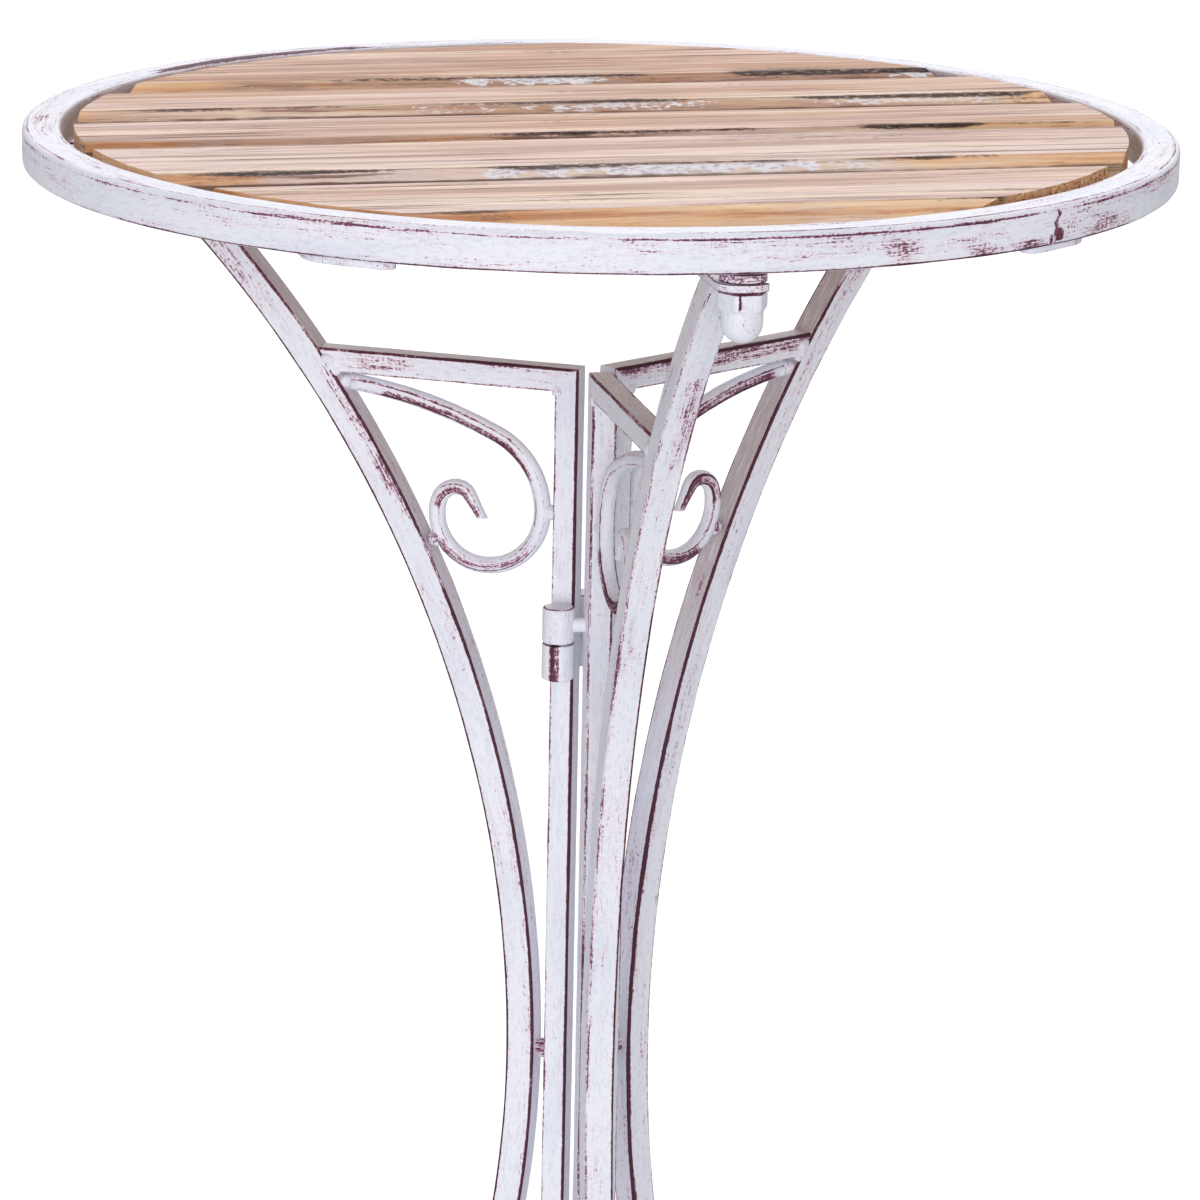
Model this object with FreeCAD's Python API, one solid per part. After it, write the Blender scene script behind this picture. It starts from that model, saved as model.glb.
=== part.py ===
"""Round side table: a boarded top on a folding base of three bowed wings. Millimetres, +Z up.

The origin is on the floor, under the middle of the top. The boards run along X. The left wing carries
the top, and the front and rear wings swing on upright barrel hinges at the left wing's post.
"""
import FreeCAD, Part
import math
import os

# Overall sizes
top_diameter = 450.0
table_height = 750.0

# Top: ring of square tube, two flat crossbars under it, five boards on the crossbars
ring_tube = 15.0
ring_wall = 1.5
ring_corner = 2.2
vent_diameter = 4.0
crossbar_width = 30.0
crossbar_thickness = 3.0
crossbar_spread = 129.0
crossbar_end_setback = 5.0
board_thickness = 16.0
board_end_gap = 5.0
board_gap = 5.0
screw_diameter = 4.0
screw_head_diameter = 8.0
screw_head_depth = 2.2
screw_length = 14.0
screw_clearance = 0.1

# Edges of the five boards across the top, from the rear one, as shares of the boards' round outline
board_rear_edge_shares = (1.0, 0.466, 0.124, -0.153, -0.566)
board_front_edge_shares = (0.576, 0.258, -0.091, -0.433, -0.849)
last_board_foot_share = -0.961
screw_place_shares = (0.28, 0.72)

# Fixing of each leg to the ring: stud, spacer collar and cap nut
stud_diameter = 10.0
stud_inset = 1.5
stud_clearance = 0.8
spacer_diameter = 17.0
spacer_height = 3.5
nut_flats = 16.0
nut_hex_height = 7.0
nut_height = 19.0
nut_crown = 3.0
nut_dome_diameter = 15.0
lug_width = 20.0
lug_thickness = 3.0
lug_end_radius = 8.5
lug_shift = 2.0
lug_tail = 6.0
fixing_gap = 0.2
leg_nut_gap = 2.0

# Wings: bowed leg, straight post, rails and scrolls
wing_names = ("left", "front", "rear")
left_wing_azimuth = 150.0
leg_tube = 12.0
leg_wall = 1.2
waist_drop = 2.25
waist_radius = 32.0
post_tube = 10.0
post_wall = 1.0
post_radius = 11.0
rail_drop = 76.5
scroll_bar = 7.0
scroll_post_gap = 2.2
scroll_tip_length = 12.0
scroll_tip_diameter = 4.4
scroll_heading = 182.9
scroll_radius_shares = (2.142, 0.373, 0.270, 0.229, 0.0975, 0.063)
scroll_turns = (21.7, 71.0, 94.9, 92.5, 77.0, 59.0)
tack_diameter = 5.0
scroll_leg_tack_heading = 60.0
weld_gap = 0.1

# Feet
cap_wall = 1.5
cap_floor = 3.0
cap_height = 14.0
cap_fit = 0.1

# Barrel hinges between the left post and the other two posts
hinge_reach = 179.0
knuckle_diameter = 13.0
knuckle_length = 15.0
knuckle_floor = 2.5
knuckle_gap = 0.4
hinge_inset = 0.7
pin_diameter = 6.0
pin_clearance = 0.05
pin_end_gap = 0.5
arm_diameter = 6.0
arm_seat_share = 0.25
hinge_weld_width = 7.0

# How far a cutting shape runs past what it cuts
overrun = 2.0

# Levels and radii that follow from the sizes above
ring_outer = top_diameter / 2
ring_inner = ring_outer - ring_tube
ring_bottom = table_height - ring_tube
stud_radius = ring_outer - ring_tube / 2 - stud_inset
crossbar_bottom = ring_bottom - crossbar_thickness
board_radius = ring_inner - board_end_gap
lug_top = ring_bottom - spacer_height
lug_bottom = lug_top - lug_thickness
nut_top = lug_bottom - fixing_gap
leg_top_radius = stud_radius - nut_flats / 2 - leg_nut_gap

# The leg's outer face is one arc through its waist, a little under half its height, and its top
waist_height = lug_bottom / 2 - waist_drop
leg_rise = lug_bottom - waist_height
leg_spread = leg_top_radius - waist_radius
bend_radius = (leg_rise ** 2 + leg_spread ** 2) / (2 * leg_spread)
bend_centre = waist_radius + bend_radius

post_inner = post_radius - post_tube / 2
post_outer = post_radius + post_tube / 2
post_top = lug_bottom - rail_drop
post_bottom = 2 * waist_height - post_top
rail_bottom = post_top - post_tube
hinge_x = post_radius - hinge_inset
hinge_y = post_tube / 2 + knuckle_gap + knuckle_diameter / 2
hinge_levels = (waist_height + hinge_reach, waist_height - hinge_reach)

wing_azimuths = {wing: left_wing_azimuth + place * 360 / len(wing_names)
                 for place, wing in enumerate(wing_names)}

up = FreeCAD.Vector(0, 0, 1)
across = FreeCAD.Vector(0, 1, 0)
centre = FreeCAD.Vector(0, 0, 0)


def save(name, *shapes):
    """Writes one node: one solid, or a group of separate solids."""
    solids = [solid for shape in shapes for solid in shape.Solids]
    shape = solids[0] if len(solids) == 1 else Part.makeCompound(solids)
    shape.exportStep("parts/" + name + ".step")


def box(x, y, z):
    """A box from three (low, high) pairs."""
    sizes = [pair[1] - pair[0] for pair in (x, y, z)]
    return Part.makeBox(*sizes, FreeCAD.Vector(x[0], y[0], z[0]))


def upright(radius, low, high, x=0, y=0):
    """An upright cylinder."""
    return Part.makeCylinder(radius, high - low, FreeCAD.Vector(x, y, low), up)


def rod(start, end, radius):
    """A round rod between two points."""
    return Part.makeCylinder(radius, (end - start).Length, start, end - start)


def plate_in_wing(points, width):
    """A flat outline of (radius, height) points in the wing's plane, as thick as width."""
    corners = [FreeCAD.Vector(x, -width / 2, z) for x, z in points]
    face = Part.Face(Part.makePolygon(corners + corners[:1]))
    return face.extrude(FreeCAD.Vector(0, width, 0))


def hand_of(wing):
    """The side of a wing, seen along it, that its lug and its hinge are on."""
    return -1 if wing == "rear" else 1


def turned(shape, degrees):
    """A copy turned about the table's axis."""
    copy = shape.copy()
    copy.rotate(centre, up, degrees)
    return copy


def flipped_in_height(shape):
    """The upper half's piece, mirrored to the lower half at the waist."""
    return shape.mirror(FreeCAD.Vector(0, 0, waist_height), up)


# Top

def ring_section():
    """The outline of the ring's tube, where it crosses the XZ plane."""
    half = ring_tube / 2
    flat = half - ring_corner
    arcs = []
    for quarter, (x, z) in enumerate(((1, 1), (-1, 1), (-1, -1), (1, -1))):
        heart = FreeCAD.Vector(ring_outer - half + x * flat, 0, ring_bottom + half + z * flat)
        turns = [math.radians(90 * quarter + part) for part in (0, 45, 90)]
        ways = [FreeCAD.Vector(math.cos(turn), 0, math.sin(turn)) for turn in turns]
        arcs.append([heart + ring_corner * way for way in ways])
    edges = []
    for arc, following in zip(arcs, arcs[1:] + arcs[:1]):
        edges.append(Part.Arc(*arc).toShape())
        edges.append(Part.LineSegment(arc[-1], following[0]).toShape())
    return Part.Face(Part.Wire(edges))


def make_ring():
    """The rim: a square tube with rounded corners bent into a ring, with a vent hole in its underside."""
    solid = ring_section().revolve(centre, up, 360)
    low, high = ring_bottom + ring_wall, table_height - ring_wall
    hollow = upright(ring_outer - ring_wall, low, high).cut(upright(ring_inner + ring_wall, low, high))
    vent = upright(vent_diameter / 2, ring_bottom - overrun, low + overrun, 0, stud_radius)
    return solid.cut(hollow).cut(vent)


def make_crossbar(x, screws):
    """A flat bar under the ring, cut to the ring's curve at its ends and bored for the board screws."""
    half = crossbar_width / 2
    bar = box((x - half, x + half), (-ring_outer, ring_outer), (crossbar_bottom, ring_bottom))
    bar = bar.common(upright(ring_outer - crossbar_end_setback, crossbar_bottom, ring_bottom))
    for x_screw, y_screw in screws:
        bar = bar.cut(screw_solid(x_screw, y_screw, screw_clearance))
    return bar


def screw_solid(x, y, gap):
    """A countersunk wood screw driven up through a crossbar, or its hole when gap is not zero."""
    head = screw_head_diameter / 2 + gap
    shank = screw_diameter / 2 + gap
    base = FreeCAD.Vector(x, y, crossbar_bottom)
    cone = Part.makeCone(head, shank, screw_head_depth + gap, base, up)
    shaft = upright(shank, crossbar_bottom, crossbar_bottom + screw_length + gap, x, y)
    return cone.fuse(shaft).removeSplitter()


def board_edges():
    """For each board: rear edge, front edge at the top, front edge at the foot."""
    rears = [share * board_radius for share in board_rear_edge_shares]
    fronts = [share * board_radius for share in board_front_edge_shares]
    feet = [rear + board_gap for rear in rears[1:]] + [last_board_foot_share * board_radius]
    return list(zip(rears, fronts, feet))


def make_board(rear, front, foot, screws):
    """A board with a sloping natural front edge, cut to the top's round outline."""
    low, high = ring_bottom, ring_bottom + board_thickness
    section = [(rear, low), (rear, high), (front, high), (foot, low)]
    corners = [FreeCAD.Vector(-board_radius, y, z) for y, z in section]
    end = Part.Face(Part.makePolygon(corners + corners[:1]))
    board = end.extrude(FreeCAD.Vector(2 * board_radius, 0, 0))
    board = board.common(upright(board_radius, low, high))
    for x_screw, y_screw in screws:
        board = board.cut(screw_solid(x_screw, y_screw, screw_clearance))
    return board


def screw_rows(edges):
    """For each board: where its screws stand across the top, on the part of it that the crossbars reach."""
    reach = math.sqrt(board_radius ** 2 - crossbar_spread ** 2)
    spans = [(min(rear, reach), max(foot, -reach)) for rear, front, foot in edges]
    return [[foot + share * (rear - foot) for share in screw_place_shares] for rear, foot in spans]


def make_top():
    """The ring, crossbars, boards and their screws."""
    edges = board_edges()
    rows = screw_rows(edges)
    places = {name: [(x, y) for row in rows for y in row]
              for name, x in (("left", -crossbar_spread), ("right", crossbar_spread))}
    save("top_ring", make_ring())
    for name, x in (("left", -crossbar_spread), ("right", crossbar_spread)):
        save(name + "_crossbar", make_crossbar(x, places[name]))
    for number, (edge, row) in enumerate(zip(edges, rows), start=1):
        own = [(x, y) for y in row for x in (-crossbar_spread, crossbar_spread)]
        save("board_" + str(number), make_board(*edge, own))
    save("board_screws", *[screw_solid(x, y, 0) for name in places for x, y in places[name]])


# Fixings, made for a wing along +X with its lug on the +Y side, or on the -Y side when hand is -1

def make_stud(hand):
    """A stud welded to the ring's underside, ending inside the cap nut."""
    end = nut_top - nut_height + nut_crown + fixing_gap
    return upright(stud_diameter / 2, end, ring_bottom, stud_radius, hand * lug_shift)


def make_spacer(hand):
    """The collar between the ring and the lug."""
    y = hand * lug_shift
    collar = upright(spacer_diameter / 2, lug_top + fixing_gap, ring_bottom, stud_radius, y)
    bore_radius = stud_diameter / 2 + fixing_gap
    return collar.cut(upright(bore_radius, lug_top, ring_bottom + overrun, stud_radius, y))


def make_nut(hand):
    """A hexagon cap nut with a domed blind end, one flat towards the leg."""
    y = hand * lug_shift
    hex_bottom = nut_top - nut_hex_height
    corner = nut_flats / math.sqrt(3)
    middle = FreeCAD.Vector(stud_radius, y, hex_bottom)
    angles = [math.radians(30 + 60 * k) for k in range(6)]
    points = [middle + corner * FreeCAD.Vector(math.cos(angle), math.sin(angle), 0) for angle in angles]
    hexagon = Part.Face(Part.makePolygon(points + points[:1])).extrude(FreeCAD.Vector(0, 0, nut_hex_height))
    dome_radius = nut_dome_diameter / 2
    dome_bottom = nut_top - nut_height
    neck = upright(dome_radius, dome_bottom + dome_radius, hex_bottom, stud_radius, y)
    ball = Part.makeSphere(dome_radius, FreeCAD.Vector(stud_radius, y, dome_bottom + dome_radius))
    bore_radius = stud_diameter / 2 + fixing_gap
    bore = upright(bore_radius, dome_bottom + nut_crown, nut_top + overrun, stud_radius, y)
    return hexagon.fuse(neck).fuse(ball).removeSplitter().cut(bore)


def make_lug(wing):
    """The flat lug welded on the leg's top end; its slot is open sideways on a wing that swings away."""
    hand = hand_of(wing)
    y = hand * lug_shift
    half = lug_width / 2
    tail = leg_radius_at(lug_bottom, leg_tube) - lug_tail
    levels = (lug_bottom, lug_top)
    plate = box((tail, stud_radius), (y - half, y + half), levels)
    end_half = half - lug_end_radius
    tongue = box((stud_radius, stud_radius + lug_end_radius), (y - end_half, y + end_half), levels)
    plate = plate.fuse(tongue)
    for side in (-end_half, end_half):
        plate = plate.fuse(upright(lug_end_radius, lug_bottom, lug_top, stud_radius, y + side))
    hole_radius = stud_diameter / 2 + stud_clearance
    cut_levels = (lug_bottom - overrun, lug_top + overrun)
    cut = upright(hole_radius, *cut_levels, stud_radius, y)
    if wing != "left":
        mouth = sorted((y, y + hand * (lug_width + overrun)))
        slot = box((stud_radius - hole_radius, stud_radius + hole_radius), mouth, cut_levels)
        axis_x, axis_y = hinge_in_wing(wing)
        skew = math.degrees(math.atan2(y - axis_y, stud_radius - axis_x))
        slot.rotate(FreeCAD.Vector(stud_radius, y, 0), up, skew)
        cut = cut.fuse(slot)
    return plate.removeSplitter().cut(cut)


# Wing pieces, made for a wing along +X

def leg_radius_at(height, depth):
    """Distance from the axis, at a height, of the surface that lies depth behind the leg's outer face."""
    return bend_centre - math.sqrt((bend_radius + depth) ** 2 - (height - waist_height) ** 2)


def leg_bend(depth, width):
    """The solid inside the bend, out to depth behind the leg's outer face."""
    base = FreeCAD.Vector(bend_centre, -width / 2, waist_height)
    return Part.makeCylinder(bend_radius + depth, width, base, across)


def leg_band(margin, low, high):
    """The bowed leg's filled shape, grown by margin on all four sides, between two levels."""
    width = leg_tube + 2 * margin
    band = leg_bend(leg_tube + margin, width).cut(leg_bend(-margin, width))
    return band.common(box((0, bend_centre), (-leg_tube, leg_tube), (low, high)))


def make_leg():
    """The bowed square tube."""
    return leg_band(0, cap_floor, lug_bottom).cut(leg_band(-leg_wall, 0, table_height))


def make_foot_cap():
    """The moulded cap that the leg stands in."""
    socket = leg_band(cap_fit, cap_floor, cap_height + overrun)
    return leg_band(cap_wall, 0, cap_height).cut(socket)


def make_post():
    """The straight square tube beside the axis, mitred to a rail at both ends."""
    outline = [(post_inner, post_bottom), (post_outer, post_bottom + post_tube),
               (post_outer, post_top - post_tube), (post_inner, post_top)]
    inside = post_tube / 2 - post_wall
    bore = box((post_radius - inside, post_radius + inside), (-inside, inside),
               (post_bottom - overrun, post_top + overrun))
    return plate_in_wing(outline, post_tube).cut(bore)


def make_upper_rail():
    """The level square tube from the post's mitre to the leg's inner face."""
    far = leg_radius_at(post_top, 0)
    outline = [(post_inner, post_top), (far, post_top), (far, rail_bottom), (post_outer, rail_bottom)]
    inside = post_tube / 2 - post_wall
    bore = box((post_inner - overrun, far + overrun), (-inside, inside),
               (rail_bottom + post_wall, post_top - post_wall))
    return plate_in_wing(outline, post_tube).cut(bore).cut(leg_bend(leg_tube + weld_gap, leg_tube))


class ScrollLine:
    """The scroll's centre line: arcs that follow on from each other in the wing's plane."""

    def __init__(self, start, size):
        self.point = start
        self.heading = math.radians(scroll_heading)
        self.size = size
        self.arcs = []

    def after(self, radius, turn):
        """The place reached along an arc that turns left."""
        x, z = self.point
        cx = x - radius * math.sin(self.heading)
        cz = z + radius * math.cos(self.heading)
        heading = self.heading + turn
        return cx + radius * math.sin(heading), cz - radius * math.cos(heading)

    def follow(self, heading_sought=None):
        """Runs along all arcs, or stops where the line has the heading that is sought."""
        for share, degrees in zip(scroll_radius_shares, scroll_turns):
            turn = math.radians(degrees)
            radius = share * self.size
            if heading_sought is not None and self.heading + turn >= heading_sought:
                return self.after(radius, heading_sought - self.heading)
            middle, end = self.after(radius, turn / 2), self.after(radius, turn)
            points = [FreeCAD.Vector(x, 0, z) for x, z in (self.point, middle, end)]
            self.arcs.append(Part.Arc(*points).toShape())
            self.point = end
            self.heading += turn
        return self.point


def scroll_start():
    """Where the scroll's tail meets the leg, just under the upper rail."""
    z = rail_bottom - scroll_bar / 2 - weld_gap
    return leg_radius_at(z, leg_tube) + scroll_bar / 2, z


def scroll_size():
    """The size at which the scroll reaches from the leg to its gap beside the post."""
    room = scroll_start()[0] - (post_outer + scroll_post_gap + scroll_bar / 2)
    unit_reach = -ScrollLine((0, 0), 1).follow(math.radians(270))[0]
    return room / unit_reach


def make_upper_scroll():
    """The round bar scroll between leg and post, with a drawn-out tip."""
    line = ScrollLine(scroll_start(), scroll_size())
    line.follow()
    wire = Part.Wire(line.arcs)
    heading = math.radians(scroll_heading)
    start = FreeCAD.Vector(scroll_start()[0], 0, scroll_start()[1])
    way = FreeCAD.Vector(math.cos(heading), 0, math.sin(heading))
    ring = Part.Wire(Part.makeCircle(scroll_bar / 2, start, way))
    bar = wire.makePipeShell([ring], True, False)
    tip_way = FreeCAD.Vector(math.cos(line.heading), 0, math.sin(line.heading))
    tip_base = FreeCAD.Vector(line.point[0], 0, line.point[1])
    tip = Part.makeCone(scroll_bar / 2, scroll_tip_diameter / 2, scroll_tip_length, tip_base, tip_way)
    return bar.fuse(tip).cut(leg_bend(leg_tube + weld_gap, leg_tube))


def make_upper_tacks(scroll):
    """Weld tacks that hold the scroll to the post and to the leg."""
    x, z = ScrollLine(scroll_start(), scroll_size()).follow(math.radians(270))
    at_post = rod(FreeCAD.Vector(post_outer, 0, z), FreeCAD.Vector(x, 0, z), tack_diameter / 2).cut(scroll)
    heading = math.radians(360 + scroll_leg_tack_heading)
    x, z = ScrollLine(scroll_start(), scroll_size()).follow(heading)
    length = leg_radius_at(z, 0) - x
    start = FreeCAD.Vector(x, 0, z)
    end = start + length * FreeCAD.Vector(math.sin(heading), 0, -math.cos(heading))
    at_leg = rod(start, end, tack_diameter / 2).cut(scroll).cut(leg_bend(leg_tube, leg_tube))
    return [at_post, at_leg]


def make_waist_tack():
    """The tack that joins the leg to the post where they come closest."""
    far = leg_radius_at(waist_height, 0)
    points = [FreeCAD.Vector(x, 0, waist_height) for x in (post_outer, far)]
    return rod(*points, tack_diameter / 2).cut(leg_bend(leg_tube, leg_tube))


def hinge_in_wing(wing):
    """The hinge axis beside the left post, as seen in the plan of the wing that swings on it."""
    turn = math.radians(wing_azimuths["left"] - wing_azimuths[wing])
    side = hand_of(wing) * hinge_y
    x = hinge_x * math.cos(turn) - side * math.sin(turn)
    y = hinge_x * math.sin(turn) + side * math.cos(turn)
    return x, y


def make_arm(wing, level):
    """The rod from a hinge socket to the side of a swinging wing's post."""
    x, y = hinge_in_wing(wing)
    z = level + knuckle_length / 2
    axis = FreeCAD.Vector(x, y, z)
    seat = FreeCAD.Vector(post_radius - arm_seat_share * post_tube, 0, z)
    knuckle = upright(knuckle_diameter / 2, level, level + knuckle_length, x, y)
    half = post_tube / 2
    post = box((post_inner - half, post_outer + half), (-half, half), (level, level + knuckle_length))
    return rod(axis, seat, arm_diameter / 2).cut(knuckle).cut(post)


def make_wing(wing):
    """Writes all pieces of one wing, turned to its place."""
    scroll = make_upper_scroll()
    tacks = make_upper_tacks(scroll)
    pieces = {
        "leg": [make_leg()],
        "foot_cap": [make_foot_cap()],
        "post": [make_post()],
        "upper_rail": [make_upper_rail()],
        "lower_rail": [flipped_in_height(make_upper_rail())],
        "upper_scroll": [scroll],
        "lower_scroll": [flipped_in_height(scroll)],
        "weld_tacks": tacks + [flipped_in_height(tack) for tack in tacks] + [make_waist_tack()],
        "lug": [make_lug(wing)],
    }
    for piece, shapes in pieces.items():
        save(wing + "_" + piece, *[turned(shape, wing_azimuths[wing]) for shape in shapes])


# Hinges, made beside the left post on the +Y side, or on the -Y side when hand is -1

def make_barrel(hand, level):
    """The lower knuckle, fixed to the left post."""
    y = hand * hinge_y
    solid = upright(knuckle_diameter / 2, level - knuckle_length, level, hinge_x, y)
    bottom = level - knuckle_length + knuckle_floor
    return solid.cut(upright(pin_diameter / 2 + pin_clearance, bottom, level + overrun, hinge_x, y))


def make_socket(hand, level):
    """The upper knuckle, carried by the swinging wing, which turns on the pin."""
    y = hand * hinge_y
    solid = upright(knuckle_diameter / 2, level + knuckle_gap, level + knuckle_length, hinge_x, y)
    top = level + knuckle_length - knuckle_floor
    return solid.cut(upright(pin_diameter / 2 + pin_clearance, level - overrun, top, hinge_x, y))


def make_pin(hand, level):
    """The pin, seated in the barrel."""
    low = level - knuckle_length + knuckle_floor
    high = level + knuckle_length - knuckle_floor - pin_end_gap
    return upright(pin_diameter / 2, low, high, hinge_x, hand * hinge_y)


def make_hinge_weld(hand, level):
    """The weld that fills the space between the barrel and the left post's side."""
    y = hand * hinge_y
    half = hinge_weld_width / 2
    sides = sorted((hand * post_tube / 2, y))
    block = box((hinge_x - half, hinge_x + half), sides, (level - knuckle_length, level - knuckle_gap))
    return block.cut(upright(knuckle_diameter / 2, level - knuckle_length, level, hinge_x, y))


def make_hinges(wing):
    """Upper and lower hinge of one swinging wing."""
    hand = hand_of(wing)
    azimuth = wing_azimuths["left"]
    makers = {"barrels": make_barrel, "pins": make_pin, "welds": make_hinge_weld, "sockets": make_socket}
    for piece, make in makers.items():
        save(wing + "_hinge_" + piece, *[turned(make(hand, level), azimuth) for level in hinge_levels])
    arms = [turned(make_arm(wing, level), wing_azimuths[wing]) for level in hinge_levels]
    save(wing + "_hinge_arms", *arms)


os.makedirs("parts", exist_ok=True)
make_top()
for wing in wing_names:
    make_wing(wing)
for piece, make in (("top_studs", make_stud), ("top_spacers", make_spacer), ("cap_nuts", make_nut)):
    save(piece, *[turned(make(hand_of(wing)), wing_azimuths[wing]) for wing in wing_names])
for wing in ("front", "rear"):
    make_hinges(wing)
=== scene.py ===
"""Looks of the folding round side table: distressed painted steel under a top of weathered boards."""
import math
from functools import partial

import bmesh
import bpy
import numpy as np
from mathutils import Matrix, Vector, noise


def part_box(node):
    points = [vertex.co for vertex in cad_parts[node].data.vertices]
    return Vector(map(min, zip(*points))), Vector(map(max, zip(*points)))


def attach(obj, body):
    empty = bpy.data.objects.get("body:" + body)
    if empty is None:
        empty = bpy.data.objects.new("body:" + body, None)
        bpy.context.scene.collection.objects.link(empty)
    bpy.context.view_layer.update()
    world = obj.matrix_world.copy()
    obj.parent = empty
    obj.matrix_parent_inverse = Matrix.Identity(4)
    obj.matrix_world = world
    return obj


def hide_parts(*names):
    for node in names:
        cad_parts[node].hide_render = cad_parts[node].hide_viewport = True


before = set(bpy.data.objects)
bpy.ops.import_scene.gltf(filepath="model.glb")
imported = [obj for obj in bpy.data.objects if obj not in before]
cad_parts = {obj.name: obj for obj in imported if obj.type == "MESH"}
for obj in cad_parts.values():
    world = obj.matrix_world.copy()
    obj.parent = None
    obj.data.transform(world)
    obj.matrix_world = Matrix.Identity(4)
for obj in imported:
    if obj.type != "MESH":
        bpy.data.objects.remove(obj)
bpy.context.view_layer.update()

# Sizes in metres, read from the solids
ring_low, ring_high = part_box("top_ring")
leg_low, leg_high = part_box("front_leg")
post_low, post_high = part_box("front_post")
ring_outer = ring_high.x
ring_bottom = ring_low.z
table_height = ring_high.z
ring_tube = table_height - ring_bottom
leg_tube = leg_high.x - leg_low.x
leg_foot = leg_low.z
lug_bottom = leg_high.z
leg_top_radius = -leg_low.y
waist_radius = leg_tube - leg_high.y
post_tube = post_high.x - post_low.x
post_inner = -post_high.y
post_outer = -post_low.y
post_bottom = post_low.z
post_top = post_high.z
waist_height = (post_top + post_bottom) / 2

# The leg's bend, as one arc through its waist and its top
leg_rise = lug_bottom - waist_height
leg_spread = leg_top_radius - waist_radius
bend_radius = (leg_rise ** 2 + leg_spread ** 2) / (2 * leg_spread)
bend_centre = waist_radius + bend_radius

# The scroll's arcs
scroll_bar = 0.007
scroll_post_gap = 0.0022
scroll_rail_gap = 0.0001
scroll_tip_length = 0.012
scroll_tip_share = 0.63
scroll_taper_share = 1.6
scroll_cut_slope = 0.35
scroll_heading = 182.9
scroll_radius_shares = (2.142, 0.373, 0.270, 0.229, 0.0975, 0.063)
scroll_turns = (21.7, 71.0, 94.9, 92.5, 77.0, 59.0)
scroll_leg_tack_heading = 60.0

# Wings and what they ride on
wing_azimuths = {"left": 150.0, "front": -90.0, "rear": 30.0}
wing_bodies = {"left": "hub", "front": "front_wing", "rear": "rear_wing"}

# Surface detail
tube_corner = 0.0011
ring_corner = 0.0022
plate_rounding = 0.0006
crossbar_end_rounding = 0.009
rim_width = 0.0007
far_from_edge = 0.006
row_spacing = 0.004
ring_row_spacing = 0.003
scroll_row_spacing = 0.0022
merge_distance = 1e-6
flat_angle = math.radians(1)
sharp_angle = math.radians(35)
smooth_angle = math.radians(42)

# Low lumps of the painted tubes: height, how far they sink, and waves in a metre
lump_height = 0.00014
lump_sink_share = 0.6
waves_along = 45.0
waves_across = 160.0

# Shifts that give each seed, and each board, its own part of the patterns
lump_seed_shift = 7.3
grain_seed_shift = np.array((0.713, 0.131, 0.077))
board_grain_shift = np.array((0.83, 0.21, 0.05))

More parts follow.
